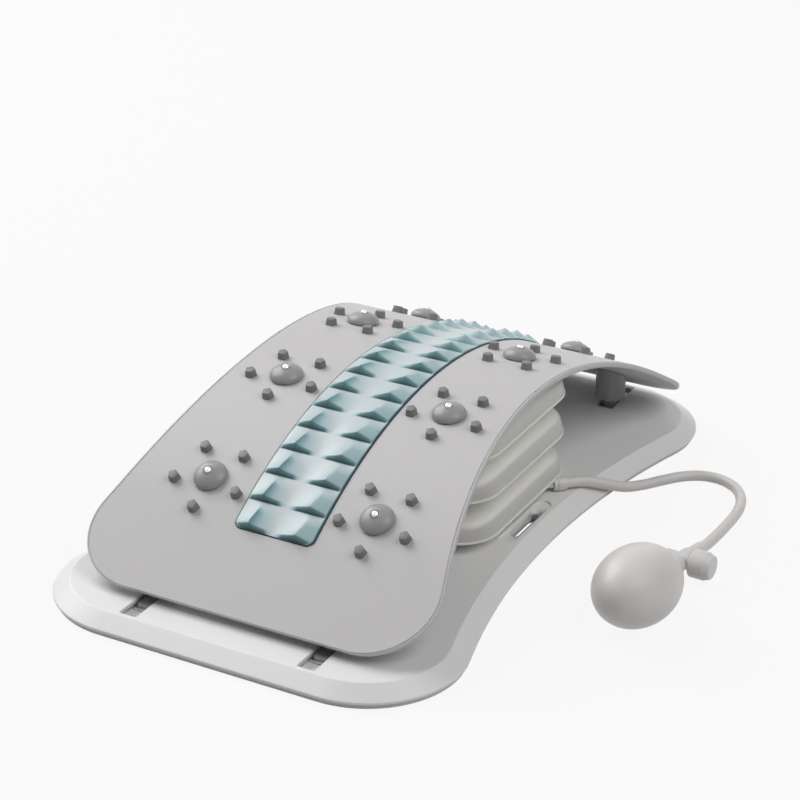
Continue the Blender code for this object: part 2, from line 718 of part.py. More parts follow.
def make_feet(foot_mat, steel_mat):
    """Feet whose collars meet the bowed board; their shoes slide in the base plate's slots."""
    rows = inset_rows(BOARD_SIZE, 0, side_rows=17, corner_rows=6)
    levels = [(rows, -BOARD_THICKNESS - GAP), (rows, CUTTER_DEPTH)]
    clearance = make_cutter(lofted_sheet("board_clearance", levels, on_bow, columns=2))
    shoe_low = SHOE_LOW
    shoe_high = PLATE_TOP - SHOE_SINK
    collar_low = PLATE_TOP + COLLAR_LIFT
    column = [(STEM_RADIUS, shoe_low + GAP), (STEM_RADIUS, collar_low)]
    column += [(COLLAR_RADIUS - 0.6 * MM, collar_low), (COLLAR_RADIUS, collar_low + 0.8 * MM)]
    hole = [(SCREW_RADIUS + GAP, shoe_low - 1 * MM), (SCREW_RADIUS + GAP, shoe_low + SCREW_DEPTH + GAP)]
    for name, (x, end) in FEET.items():
        at_shoe = (x, end * (SHOE_INNER_Y + SHOE_LENGTH / 2))
        at_foot = Matrix.Translation((x, end * FOOT_Y, 0))
        shoe = blunt_block(SHOE_LENGTH, SHOE_WIDTH, SHOE_CORNER)
        foot = prism(f"{name}_foot", shoe, shoe_low, shoe_high, foot_mat, at_shoe)
        top = underside_at(end * (FOOT_Y - COLLAR_RADIUS)) + CUTTER_DEPTH / 4
        post = turned(f"{name}_post", column + [(COLLAR_RADIUS, top)], 20, matrix=at_foot)
        boolean(post, clearance, "DIFFERENCE")
        boolean(foot, make_cutter(post), "UNION")
        boolean(foot, make_cutter(turned(f"{name}_bore", hole, 12, matrix=at_foot)), "DIFFERENCE")
        make_retainer(name, at_shoe, at_foot, shoe_low, steel_mat)


def make_retainer(name, at_shoe, at_foot, shoe_low, steel_mat):
    """Plate and screw that hold the shoe in its slot from below."""
    high = shoe_low - GAP
    low = RETAINER_LOW
    outline = blunt_block(SHOE_LENGTH - 2 * RETAINER_SETBACK, RETAINER_WIDTH, SHOE_CORNER)
    plate = prism(f"{name}_retainer", outline, low, high, steel_mat, at_shoe)
    hole = [(SCREW_RADIUS + GAP, low - 1 * MM), (SCREW_RADIUS + GAP, high + 1 * MM)]
    boolean(plate, make_cutter(turned(f"{name}_plate_hole", hole, 12, matrix=at_foot)), "DIFFERENCE")
    head_top = low - GAP
    head_low = head_top - SCREW_HEAD_HEIGHT
    screw = [(SCREW_HEAD_RADIUS * 0.8, head_low), (SCREW_HEAD_RADIUS, head_low + 0.5 * MM)]
    screw += [(SCREW_HEAD_RADIUS, head_top), (SCREW_RADIUS, head_top)]
    screw += [(SCREW_RADIUS, shoe_low + SCREW_DEPTH)]
    turned(f"{name}_screw", screw, 12, steel_mat, at_foot)


def crown_height(inset, half_height):
    """Height of the pillow above its rim's plane at a distance in from the rim's edge."""
    edge = WELD_THICKNESS / 2
    if inset <= WELD_WIDTH:
        return edge
    t = min((inset - WELD_WIDTH) / CROWN_RUN, 1.0)
    return edge + (half_height - edge) * (1 - (1 - t) ** 3) ** 0.45


def pillow_levels(insets, height_at, rows):
    """Outlines of a pillow from its underside, round its rim and up to its top."""
    size = (CHAMBER_WIDTH, CHAMBER_SIDE_RADIUS, CHAMBER_CORNER, CHAMBER_LENGTH)
    up = [(inset_rows(size, inset, **rows), height_at(inset)) for inset in insets]
    return [(outline, -height) for outline, height in reversed(up)] + up


def make_chambers(mat):
    """Welded air pillows, hollow and joined by ports in their middles."""
    pitch = (CREST_HEIGHT - BOARD_THICKNESS - PLATE_TOP) / len(CHAMBERS)
    half = pitch / 2 - GAP
    swell = [WELD_WIDTH + CROWN_RUN * t for t in (0.05, 0.14, 0.28, 0.48, 0.72, 1.0)]
    skin = pillow_levels(
        [0.0, 0.5 * MM, WELD_WIDTH] + swell,
        lambda inset: crown_height(inset, half) * (1.0 if inset else 0.6),
        {"side_rows": 3, "corner_rows": 4},
    )
    hollow = pillow_levels(
        [WELD_WIDTH + CHAMBER_WALL + CROWN_RUN * t for t in (0.05, 0.3, 1.0)],
        lambda inset: crown_height(inset - CHAMBER_WALL, half) - CHAMBER_WALL,
        {"side_rows": 3, "corner_rows": 2},
    )
    middles = [PLATE_TOP + (k + 0.5) * pitch for k in range(len(CHAMBERS))]
    port = [(PORT_BORE, middles[0]), (PORT_BORE, middles[-1])]
    port = make_cutter(turned("chamber_port", port, 12, matrix=Matrix.Translation((0, CHAMBER_Y, 0))))
    for name, middle in zip(CHAMBERS, middles):
        chamber = lofted_sheet(name, skin, stacked(middle, 0), mat, columns=6, smooth_angle=50)
        if name == CHAMBERS[0]:
            boolean(chamber, make_spout(), "UNION")
        cavity = lofted_sheet(f"{name}_hollow", hollow, stacked(middle, CHAMBER_WALL), columns=2)
        boolean(chamber, make_cutter(cavity), "DIFFERENCE")
        boolean(chamber, port, "DIFFERENCE")
        if name == CHAMBERS[0]:
            boolean(chamber, make_spout_bore(), "DIFFERENCE")


def stacked(middle, below):
    """Placement of a pillow about its middle height, pressed flat where the board is lower."""

    def place(x, y, h):
        at_y = CHAMBER_Y + y
        return (x, at_y, min(middle + h, underside_at(at_y) - UPPER_CLEARANCE - below))

    return place


def port_mouth():
    return Vector((PORT_MOUTH_X, PORT_MOUTH_Y, PLATE_TOP + PORT_HEIGHT))


def port_frame(along):
    """Frame on the port's axis at a distance from its mouth, Z along the hose."""
    heading = Vector((math.cos(PORT_HEADING), math.sin(PORT_HEADING), 0))
    turn = heading.to_track_quat("Z", "Y").to_matrix().to_4x4()
    return Matrix.Translation(port_mouth() + heading * along) @ turn


def hose_points():
    """The hose's centre line: out of the port's mouth, then over the points of its route."""
    mouth = port_mouth()
    lead = port_frame(HOSE_LEAD).to_translation()
    return [mouth, lead] + [Vector((mouth.x + x * MM, mouth.y + y * MM, z * MM)) for x, y, z in HOSE_ROUTE]


def make_spout():
    wide = SPOUT_RADIUS * 0.9
    profile = [(wide, -SPOUT_LENGTH), (wide, -3 * MM), (wide - 0.3 * MM, 0)]
    return make_cutter(turned("chamber_spout", profile, 12, matrix=port_frame(-CUP_LENGTH - GAP)))


def make_spout_bore():
    profile = [(SPIGOT_BORE + GAP, -SPOUT_REACH), (SPIGOT_BORE + GAP, 2 * MM)]
    return make_cutter(turned("spout_bore", profile, 10, matrix=port_frame(-CUP_LENGTH - GAP)))


def make_port(mat):
    """Fitting pressed into the lower chamber's spout, with the cup that grips the hose."""
    wide = PORT_RADIUS * 0.9
    profile = [(SPIGOT_BORE, -5 * MM), (SPIGOT_BORE, 0), (PORT_RADIUS * 0.8, 0)]
    profile += [(PORT_RADIUS * 0.8, 2.2 * MM), (wide, 2.6 * MM), (wide, CUP_LENGTH - GAP)]
    turned("bag_port", profile, 16, mat, port_frame(-CUP_LENGTH))


def smooth_route():
    """Hose points read from a smooth curve through the route, one every two diameters or less."""
    pts = hose_points()
    made = []
    for i in range(len(pts) - 1):
        before = pts[max(i - 1, 0)]
        after = pts[min(i + 2, len(pts) - 1)]
        for t in (0.0, 0.5):
            made.append(catmull(before, pts[i], pts[i + 1], after, t))
    made.append(pts[-1])
    return made


def catmull(p0, p1, p2, p3, t):
    """Point on a smooth curve between p1 and p2."""
    turn = 2 * p0 - 5 * p1 + 4 * p2 - p3
    twist = 3 * p1 - p0 - 3 * p2 + p3
    return 0.5 * (2 * p1 + (p2 - p0) * t + turn * t**2 + twist * t**3)


def make_hose(mat):
    curve = bpy.data.curves.new("air_hose", "CURVE")
    curve.dimensions = "3D"
    curve.bevel_depth = HOSE_RADIUS
    curve.bevel_resolution = 3
    curve.use_fill_caps = True
    curve.materials.append(mat)
    spline = curve.splines.new("POLY")
    pts = smooth_route()
    spline.points.add(len(pts) - 1)
    for point, place in zip(spline.points, pts):
        point.co = (*place, 1.0)
    obj = bpy.data.objects.new("air_hose", curve)
    bpy.context.scene.collection.objects.link(obj)
    length = sum((b - a).length for a, b in zip(pts, pts[1:]))
    print(f"air hose length {length * 1000:.1f} mm")
    return obj


def bulb_start():
    """Distance along the pump's axis from the hose's end to the bulb's mouth."""
    return 3 * GAP + SLEEVE_LENGTH + VALVE_LENGTH + SHOULDER_LENGTH


def resting_tilt():
    """Rise of the pump's axis at which the bulb's belly just rests on the floor."""
    start = hose_points()[-1].z
    low, high = 0.0, math.radians(40)
    for _ in range(40):
        tilt = (low + high) / 2
        lowest = min(
            start + (bulb_start() + h) * math.sin(tilt) - r * math.cos(tilt) for r, h in bulb_outside()
        )
        low, high = (tilt, high) if lowest < FLOOR_GAP else (low, tilt)
    return high


def valve_frame():
    """Frame at the hose's end: Z runs up the bulb's axis, X is the knob's axis."""
    tilt = resting_tilt()
    run = math.cos(tilt)
    axis = Vector((run * math.cos(VALVE_HEADING), run * math.sin(VALVE_HEADING), math.sin(tilt)))
    across = Vector((0, 0, 1)).cross(axis).normalized()
    upright = axis.cross(across)
    basis = Matrix((across, upright, axis)).transposed().to_4x4()
    return Matrix.Translation(hose_points()[-1]) @ basis


def make_pump(soft_mat, hard_mat, knob_mat):
    frame = valve_frame()
    high = GAP + SLEEVE_LENGTH
    sleeve = [(SLEEVE_RADIUS * 0.86, GAP), (SLEEVE_RADIUS, GAP + 1.5 * MM), (SLEEVE_RADIUS, high)]
    turned("hose_sleeve", sleeve, 16, soft_mat, frame)
    make_valve(hard_mat, knob_mat, frame @ Matrix.Translation((0, 0, high + GAP)))
    make_bulb(soft_mat, frame @ Matrix.Translation((0, 0, bulb_start())))


def make_valve(hard_mat, knob_mat, frame):
    """Body with a hose end, an inlet stub, a threaded boss for the needle and a bulb spigot."""
    top = VALVE_LENGTH + SHOULDER_LENGTH
    profile = [(VALVE_RADIUS * 0.85, 0), (VALVE_RADIUS * 1.08, 0.8 * MM), (VALVE_RADIUS * 1.08, 4.2 * MM)]
    profile += [(VALVE_RADIUS, 4.8 * MM), (VALVE_RADIUS, VALVE_LENGTH), (SHOULDER_RADIUS, top - 1 * MM)]
    profile += [(SHOULDER_RADIUS, top), (SPIGOT_RADIUS, top), (SPIGOT_RADIUS, top + SPIGOT_LENGTH - 1 * MM)]
    profile += [(SPIGOT_RADIUS * 0.85, top + SPIGOT_LENGTH)]
    body = turned("valve_body", profile, 20, hard_mat, frame)
    cross = frame @ Matrix.Translation((0, 0, CROSS_HEIGHT)) @ Matrix.Rotation(math.pi / 2, 4, "Y")
    stub = [(STUB_RADIUS * 0.85, -STUB_LENGTH), (STUB_RADIUS, -STUB_LENGTH + 0.8 * MM), (STUB_RADIUS, 0)]
    boss = [(BOSS_RADIUS, 0.05 * MM), (BOSS_RADIUS, BOSS_LENGTH)]
    for name, shape in (("valve_stub", stub), ("valve_boss", boss)):
        boolean(body, make_cutter(turned(name, shape, 16, matrix=cross)), "UNION")
    inlet = [(1.4 * MM, -STUB_LENGTH - 1 * MM), (1.4 * MM, -STUB_LENGTH + 4 * MM)]
    seat = [(NEEDLE_RADIUS + GAP, -NEEDLE_SEAT), (NEEDLE_RADIUS + GAP, BOSS_LENGTH + 1 * MM)]
    for name, shape in (("valve_inlet", inlet), ("needle_bore", seat)):
        boolean(body, make_cutter(turned(name, shape, 12, matrix=cross)), "DIFFERENCE")
    tip = -NEEDLE_SEAT + GAP
    needle = [(0, tip), (NEEDLE_RADIUS, tip + 1.4 * MM), (NEEDLE_RADIUS, tip + NEEDLE_LENGTH)]
    turned("valve_needle", needle, 12, hard_mat, cross)
    make_knob(knob_mat, cross, BOSS_LENGTH + GAP, tip + NEEDLE_LENGTH)


def make_knob(mat, cross, start, needle_end):
    """Ribbed knob with a chamfered end; its blind hole holds the needle."""
    sides = 2 * KNOB_RIBS
    verts, faces, rings = [], [], []
    levels = [(0.94, start), (1.0, start + 0.7 * MM), (1.0, start + KNOB_LENGTH * 0.72)]
    levels += [(0.97, start + KNOB_LENGTH * 0.74), (0.80, start + KNOB_LENGTH)]
    for share, height in levels:
        rings.append(list(range(len(verts), len(verts) + sides)))
        for k in range(sides):
            a = 2 * math.pi * k / sides
            radius = KNOB_RADIUS * share - (KNOB_RIB_DEPTH if k % 2 else 0.0)
            verts.append(cross @ Vector((radius * math.cos(a), radius * math.sin(a), height)))
    for low, high in zip(rings, rings[1:]):
        faces += [(low[k], low[(k + 1) % sides], high[(k + 1) % sides], high[k]) for k in range(sides)]
    faces += [tuple(rings[0][::-1]), tuple(rings[-1])]
    knob = add_object("release_knob", verts, faces, mat, 20)
    hole = [(NEEDLE_RADIUS + GAP, start - 1 * MM), (NEEDLE_RADIUS + GAP, needle_end + GAP)]
    boolean(knob, make_cutter(turned("knob_hole", hole, 12, matrix=cross)), "DIFFERENCE")
    return knob


def bulb_radius(t):
    """Outer radius at a share t of the bulb's body: a round top and a belly drawn in to the neck."""
    if t >= BULB_BELLY:
        return BULB_RADIUS * math.sqrt(max(1 - ((t - BULB_BELLY) / (1 - BULB_BELLY)) ** 2, 0))
    fall = (BULB_BELLY - t) / BULB_BELLY
    return BULB_NECK_RADIUS + (BULB_RADIUS - BULB_NECK_RADIUS) * (1 - fall**2.1) ** 1.15


def bulb_outside():
    """Radius and height of the bulb's outside from its mouth to its top."""
    body = BULB_LENGTH - BULB_NECK_LENGTH
    shares = [0.04, 0.1, 0.18, 0.28, 0.4, 0.54, 0.68, 0.8, 0.895, 0.96, 0.99]
    neck = BULB_NECK_RADIUS
    outer = [(neck * 0.94, 0), (neck, 0.8 * MM), (neck, BULB_NECK_LENGTH)]
    return outer + [(bulb_radius(t), BULB_NECK_LENGTH + body * t) for t in shares] + [(0, BULB_LENGTH)]


def make_bulb(mat, frame):
    """Hollow rubber bulb, open at its neck, where the valve's spigot fits."""
    outer = bulb_outside()
    bore = SPIGOT_RADIUS + GAP
    inner = [(0, BULB_LENGTH - BULB_WALL)]
    inner += [(max(r - BULB_WALL, bore), h - 0.2 * BULB_WALL) for r, h in outer[-4:4:-1]]
    inner += [(bore, BULB_NECK_LENGTH + 0.5 * MM), (bore, 0)]
    turned_shell("pump_bulb", outer, inner, 24, mat, frame)


def turned_shell(name, outer, inner, segments, mat, matrix):
    """A hollow of revolution: up the outside to a pole, then down the inside to the mouth."""
    verts, faces, rings = [], [], []
    for radius, height in outer + inner:
        if radius == 0:
            rings.append([len(verts)])
            verts.append(matrix @ Vector((0, 0, height)))
            continue
        rings.append(list(range(len(verts), len(verts) + segments)))
        for k in range(segments):
            a = 2 * math.pi * k / segments
            verts.append(matrix @ Vector((radius * math.cos(a), radius * math.sin(a), height)))
    last = len(outer) - 1
    for i, (low, high) in enumerate(zip(rings, rings[1:])):
        if i == last:
            continue
        for k in range(segments):
            j = (k + 1) % segments
            if len(low) == 1:
                faces.append((low[0], high[j], high[k]))
            elif len(high) == 1:
                faces.append((low[k], low[j], high[0]))
            else:
                faces.append((low[k], low[j], high[j], high[k]))
    mouth, rim = rings[-1], rings[0]
    for k in range(segments):
        j = (k + 1) % segments
        faces.append((mouth[k], mouth[j], rim[j], rim[k]))
    return add_object(name, verts, faces, mat, 40)


def main():
    clear_scene()
    white = plastic("white_plastic", (0.86, 0.86, 0.86), 0.42)
    grey_mat = plastic("grey_foam", (0.42, 0.41, 0.41), 0.8)
    board_grey = plastic("board_grey", (0.58, 0.56, 0.58), 0.5)
    teal = plastic("teal_gel", (0.42, 0.62, 0.64), 0.2)
    dark = plastic("dark_rubber", (0.16, 0.16, 0.17), 0.45)
    steel = plastic("bright_steel", (0.75, 0.75, 0.76), 0.22, 1.0)
    foot_grey = plastic("foot_grey", (0.24, 0.24, 0.25), 0.5)
    bag = plastic("bag_film", (0.70, 0.70, 0.65), 0.35)
    soft = plastic("warm_rubber", (0.68, 0.66, 0.64), 0.45)
    hard = plastic("pale_plastic", (0.74, 0.74, 0.73), 0.35)
    make_base_plate(white)
    make_mat(grey_mat)
    make_board(board_grey)
    make_strip(teal)
    make_domes(dark, steel)
    make_feet(foot_grey, steel)
    make_chambers(bag)
    make_port(hard)
    make_hose(soft)
    make_pump(soft, hard, hard)


main()
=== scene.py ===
# %% [markdown]
# # Inflatable lumbar back stretcher
# A flexible board is bowed over three air pillows. Its feet slide in slots of a moulded base
# plate, and a hose runs to a hand bulb that lies on the floor beside it. The frame brings the
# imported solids. This file gives every visible piece its finished surface and material, and
# leaves sizes and places alone.

# %% Imports and the frame
import math

import bpy
import numpy as np
from mathutils import Matrix, Vector

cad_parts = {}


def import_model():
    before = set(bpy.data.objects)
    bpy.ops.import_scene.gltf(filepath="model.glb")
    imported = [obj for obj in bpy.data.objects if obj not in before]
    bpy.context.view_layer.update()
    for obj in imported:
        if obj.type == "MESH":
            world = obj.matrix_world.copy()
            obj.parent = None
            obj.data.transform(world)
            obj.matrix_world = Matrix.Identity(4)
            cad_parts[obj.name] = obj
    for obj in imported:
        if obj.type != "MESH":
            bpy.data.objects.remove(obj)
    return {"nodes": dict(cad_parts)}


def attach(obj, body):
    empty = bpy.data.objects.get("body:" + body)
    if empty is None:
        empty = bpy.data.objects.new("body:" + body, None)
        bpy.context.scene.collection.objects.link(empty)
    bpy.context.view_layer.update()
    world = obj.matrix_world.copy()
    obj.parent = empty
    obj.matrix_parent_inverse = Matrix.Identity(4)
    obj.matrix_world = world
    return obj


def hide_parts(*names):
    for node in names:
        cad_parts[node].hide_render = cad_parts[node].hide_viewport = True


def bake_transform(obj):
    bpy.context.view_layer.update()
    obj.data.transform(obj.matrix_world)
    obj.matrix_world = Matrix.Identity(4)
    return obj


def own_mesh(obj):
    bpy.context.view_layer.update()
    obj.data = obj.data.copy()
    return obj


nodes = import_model()["nodes"]
MM = 0.001


def add_object(name, data):
    """A new object in the scene."""
    obj = bpy.data.objects.new(name, data)
    bpy.context.scene.collection.objects.link(obj)
    return obj


def axes_matrix(place, x, y, z):
    """A frame at a place, made of its three axes."""
    return Matrix.Translation(place) @ Matrix((x, y, z)).transposed().to_4x4()


def facing(place, way):
    """A frame at a place whose Z axis points the given way."""
    return Matrix.Translation(place) @ way.to_track_quat("Z", "Y").to_matrix().to_4x4()


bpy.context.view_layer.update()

# %% [markdown]
# ## Camera
# The photograph was taken from the front right, a little above. Azimuth, elevation, distance and
# focal length were solved from the base plate's outline. The camera's axes are written out from
# those angles, so each number keeps its meaning.

# %% Camera
VIEW_AZIMUTH = math.radians(28.157)
VIEW_ELEVATION = math.radians(25.254)
VIEW_ROLL = math.radians(0.591)
VIEW_DISTANCE = 1.29225
VIEW_TARGET = Vector((-0.0015, 0.0054, 0.0616))
LENS = 105.6


def camera_axes():
    """Right, up and backward directions of the view."""
    a, e = VIEW_AZIMUTH, VIEW_ELEVATION
    right = Vector((math.cos(a), math.sin(a), 0))
    back = Vector((math.sin(a) * math.cos(e), -math.cos(a) * math.cos(e), math.sin(e)))
    up = back.cross(right)
    c, s = math.cos(VIEW_ROLL), math.sin(VIEW_ROLL)
    return right * c + up * s, up * c - right * s, back


def add_camera():
    right, up, back = camera_axes()
    data = bpy.data.cameras.new("camera")
    data.lens = LENS
    data.sensor_width = 36
    camera = add_object("camera", data)
    camera.matrix_world = axes_matrix(VIEW_TARGET + back * VIEW_DISTANCE, right, up, back)
    bpy.context.scene.camera = camera


add_camera()

# %% [markdown]
# ## Meshes from surfaces
# Nearly every piece here is a grid: a function of two parameters worked out for the whole grid at
# once. One helper turns a stack of rings into a closed skin, another carries a profile round an
# axis.


# %% Mesh helpers
def mesh_object(name, verts, faces, sharp=40):
    """An object from arrays of points and faces, smooth except where faces meet sharply."""
    mesh = bpy.data.meshes.new(name)
    mesh.from_pydata(np.asarray(verts, float).reshape(-1, 3), [], faces)
    mesh.update()
    mesh.shade_smooth()
    mesh.set_sharp_from_angle(angle=math.radians(sharp))
    return add_object(name, mesh)


def grid_faces(rows, columns, start=0):
    """Quads of a grid of points, laid out row by row, that closes round its rows."""
    r, c = np.meshgrid(np.arange(rows - 1), np.arange(columns), indexing="ij")
    right = (c + 1) % columns
    quads = [r * columns + c, r * columns + right, (r + 1) * columns + right, (r + 1) * columns + c]
    return (np.stack(quads, -1).reshape(-1, 4) + start).tolist()


def fan_faces(ring, centre, flip=False):
    """Triangles from a closed ring of points to one more point."""
    ring = np.asarray(ring)
    made = np.stack([ring, np.roll(ring, -1), np.full(len(ring), centre)], -1)
    return (made[:, ::-1] if flip else made).tolist()


def rings_object(name, rings, sharp=40, flat_ends=False):
    """A closed skin over a stack of rings, (levels, points, 3).

    Each end is closed by a fan round its middle, or by one flat face if it isn't convex.
    """
    levels, count = rings.shape[:2]
    faces = grid_faces(levels, count)
    last = (levels - 1) * count
    if flat_ends:
        faces += [list(range(count))[::-1], list(range(last, last + count))]
        return mesh_object(name, rings, faces, sharp)
    verts = np.concatenate([rings.reshape(-1, 3), rings[:1].mean(1), rings[-1:].mean(1)])
    faces += fan_faces(np.arange(count), levels * count, flip=True)
    faces += fan_faces(np.arange(count) + last, levels * count + 1)
    return mesh_object(name, verts, faces, sharp)


def revolve(name, profile, matrix, segments=64, sharp=40):
    """A turned skin: a point (radius, height) goes round Z as (r cos a, r sin a, h)."""
    radius, height = np.asarray(profile, float).T
    angle = np.linspace(0, 2 * math.pi, segments, endpoint=False)
    x, y = radius[:, None] * np.cos(angle), radius[:, None] * np.sin(angle)
    z = np.broadcast_to(height[:, None], x.shape)
    return rings_object(name, moved(np.stack([x, y, z], -1), matrix), sharp)


def moved(points, matrix):
    """An array of points carried by a 4 x 4 matrix."""
    m = np.array(matrix)
    return points @ m[:3, :3].T + m[:3, 3]


def rounded(corners, radius, steps=5):
    """A profile whose inner corners are rounded: each corner becomes a short curve.

    The curve is a quadratic one, (1-t)^2 a + 2t(1-t) b + t^2 c, between points at most one
    radius away from the corner b.
    """
    pts = np.asarray(corners, float)
    t = np.linspace(0, 1, steps)[:, None]
    made = [pts[:1]]
    for a, b, c in zip(pts, pts[1:], pts[2:]):
        near = b + (a - b) * min(radius / max(np.linalg.norm(a - b), 1e-9), 0.45)
        far = b + (c - b) * min(radius / max(np.linalg.norm(c - b), 1e-9), 0.45)
        made.append((1 - t) ** 2 * near + 2 * t * (1 - t) * b + t**2 * far)
    return np.concatenate(made + [pts[-1:]])


def point_values(obj, name, values):
    """Store one number for each point, which a material reads by its name."""
    layer = obj.data.attributes.new(name, "FLOAT", "POINT")
    layer.data.foreach_set("value", np.ravel(values).astype(np.float32))


def carry(obj, body, material, slot, *stands_for):
    """Let a piece ride on its body with its finish, in place of solids that it covers."""
    obj.data.materials.append(material)
    if stands_for:
        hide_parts(*stands_for)
    if body:
        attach(obj, body)
    return obj


# %% [markdown]
# ## Shader sums
# A material here is read as arithmetic. A Wire wraps one output of a node, and sums and products
# of wires and numbers add the Math nodes. Every other node comes from `node`, which takes the
# node's settings first and then what goes into its sockets.


# %% The socket class
class Wire:
    """One output of a node in a material's tree."""

    def __init__(self, tree, output):
        self.tree, self.output = tree, output

    def node(self, kind, settings=None, sockets=None, output=0):
        """A new node with its settings made and its sockets filled by values or wires."""
        made = self.tree.nodes.new(kind)
        settings = dict(settings or {})
        stops = settings.pop("stops", None)
        for name, value in settings.items():
            setattr(made, name, value)
        if stops:
            ramp = made.color_ramp
            while len(ramp.elements) < len(stops):
                ramp.elements.new(0.5)
            for element, (place, colour) in zip(ramp.elements, stops):
                element.position, element.color = place, (*colour, 1)
        for name, value in (sockets or {}).items():
            if isinstance(value, Wire):
                self.tree.links.new(value.output, made.inputs[name])
            else:
                made.inputs[name].default_value = value
        return Wire(self.tree, made.outputs[output])

    def maths(self, operation, a, b):
        return self.node("ShaderNodeMath", {"operation": operation}, {0: a, 1: b})

    def __add__(self, other):
        return self.maths("ADD", self, other)

    def __mul__(self, other):
        return self.maths("MULTIPLY", self, other)

    def __sub__(self, other):
        return self.maths("SUBTRACT", self, other)

    def __rsub__(self, other):
        return self.maths("SUBTRACT", other, self)

    __radd__ = __add__
    __rmul__ = __mul__


def material(name, **sockets):
    """A new material: its Object coordinates as a wire, and its main shader."""
    made = bpy.data.materials.new(name)
    made.use_nodes = True
    tree = made.node_tree
    shader = tree.nodes["Principled BSDF"]
    for socket, value in sockets.items():
        shader.inputs[socket.replace("_", " ")].default_value = value
    place = tree.nodes.new("ShaderNodeTexCoord").outputs["Object"]
    return made, Wire(tree, place), shader


def plug(shader, **wires):
    """Lead wires into the main shader's sockets."""
    for socket, wire in wires.items():
        wire.tree.links.new(wire.output, shader.inputs[socket.replace("_", " ")])


def noise(place, scale, detail, roughness=0.5):
    """Cloudy variation from 0 to 1; scale is in cells a metre."""
    sockets = {"Vector": place, "Scale": scale, "Detail": detail, "Roughness": roughness}
    return place.node("ShaderNodeTexNoise", sockets=sockets)


def blend_colours(factor, a, b):
    """The colour a where factor is 0 and b where it is 1."""
    sockets = {"Factor": factor, 6: a, 7: b}
    return factor.node("ShaderNodeMix", {"data_type": "RGBA"}, sockets, output=2)


def bump(height, strength, distance):
    """A normal from a height map; distance is the height of its relief in metres."""
    sockets = {"Height": height, "Strength": strength, "Distance": distance}
    return height.node("ShaderNodeBump", sockets=sockets)


def rgba(grey, warm=0.0):
    """A nearly neutral colour, made warmer by raising red and lowering blue."""
    return (grey * (1 + warm), grey, grey * (1 - warm), 1.0)


# %% [markdown]
# ## Finishes
# The base is satin white plastic, the board a light grey one with a fine grain, the domes and
# nubs darker and glossier. The ridge strip is a clear teal gel, the pillows a milky film, and
# hose and bulb a warm white rubber. Each has the small unevenness that moulding leaves.


# %% Moulded plastics and rubbers
def moulded(name, tones, cloud, grain, gloss, relief, **sockets):
    """A moulded skin: slow clouds of tone and gloss, and a fine grain that also stands in relief.

    Cloud and grain are (scale, detail), relief is (strength, height), and gloss holds its
    level and the shares of cloud and grain in it.
    """
    made, place, shader = material(name, **sockets)
    slow, fine = noise(place, *cloud), noise(place, *grain)
    level, slow_share, fine_share = gloss
    plug(shader, Base_Color=blend_colours(slow, *tones))
    plug(shader, Roughness=slow * slow_share + fine * fine_share + level)
    plug(shader, Normal=bump(fine, *relief))
    return made


def dark_grey(name, low, high, level):
    """Dark moulded rubber or plastic whose gloss varies a little."""
    tones, gloss = (rgba(low), rgba(high)), (level - 0.09, 0.06, 0.12)
    return moulded(name, tones, (160, 3), (2200, 2), gloss, (0.15, 0.00006), Roughness=level)


dome_grey = dark_grey("dome_rubber", 0.31, 0.37, 0.31)
nub_grey = dark_grey("nub_plastic", 0.18, 0.23, 0.43)
foot_grey = dark_grey("foot_plastic", 0.30, 0.35, 0.42)
base_white = moulded(
    "base_white",
    tones=(rgba(0.87, 0.004), rgba(0.91, 0.004)),
    cloud=(9, 3),
    grain=(1400, 2),
    gloss=(0.3, 0.1, 0.06),
    relief=(0.12, 0.0001),
    Roughness=0.38,
    Specular_IOR_Level=0.45,
)
fitting_white = moulded(
    "fitting_white",
    tones=(rgba(0.70, 0.01), rgba(0.78, 0.01)),
    cloud=(220, 2),
    grain=(2500, 2),
    gloss=(0.26, 0.1, 0.0),
    relief=(0.1, 0.00005),
    Roughness=0.32,
)
pump_rubber = moulded(
    "pump_rubber",
    tones=((0.73, 0.705, 0.685, 1), (0.81, 0.78, 0.76, 1)),
    cloud=(60, 3),
    grain=(1500, 2),
    gloss=(0.3, 0.12, 0.06),
    relief=(0.12, 0.00008),
    Roughness=0.4,
    Subsurface_Weight=0.08,
    Subsurface_Radius=(0.004, 0.003, 0.002),
    Subsurface_Scale=0.5,
)
print("nodes in a moulded finish", len(base_white.node_tree.nodes))


# %% Board, metal, foam, film and gel
def make_board_grey():
    """Light grey, faintly purple, with a fine moulded grain."""
    made, place, shader = material("board_grey", Roughness=0.5)
    grain = noise(place, 900, 3, 0.65)
    pits = place.node("ShaderNodeTexVoronoi", {}, {"Vector": place, "Scale": 1300.0})
    tone = noise(place, 7, 2) * 0.6 + grain * 0.4
    plug(shader, Base_Color=blend_colours(tone, (0.575, 0.56, 0.57, 1), (0.635, 0.62, 0.63, 1)))
    plug(shader, Roughness=grain * 0.16 + 0.44)
    plug(shader, Normal=bump(grain * 0.7 + pits * 0.5, 0.35, 0.00012))
    return made


def make_steel(name, gloss):
    """Bright metal with faint scratches."""
    made, place, shader = material(name, Metallic=1.0, Roughness=gloss)
    fine = noise(place, 1800, 4, 0.7)
    plug(shader, Base_Color=blend_colours(fine, rgba(0.70), rgba(0.82)))
    plug(shader, Roughness=fine * 0.15 + gloss)
    return made


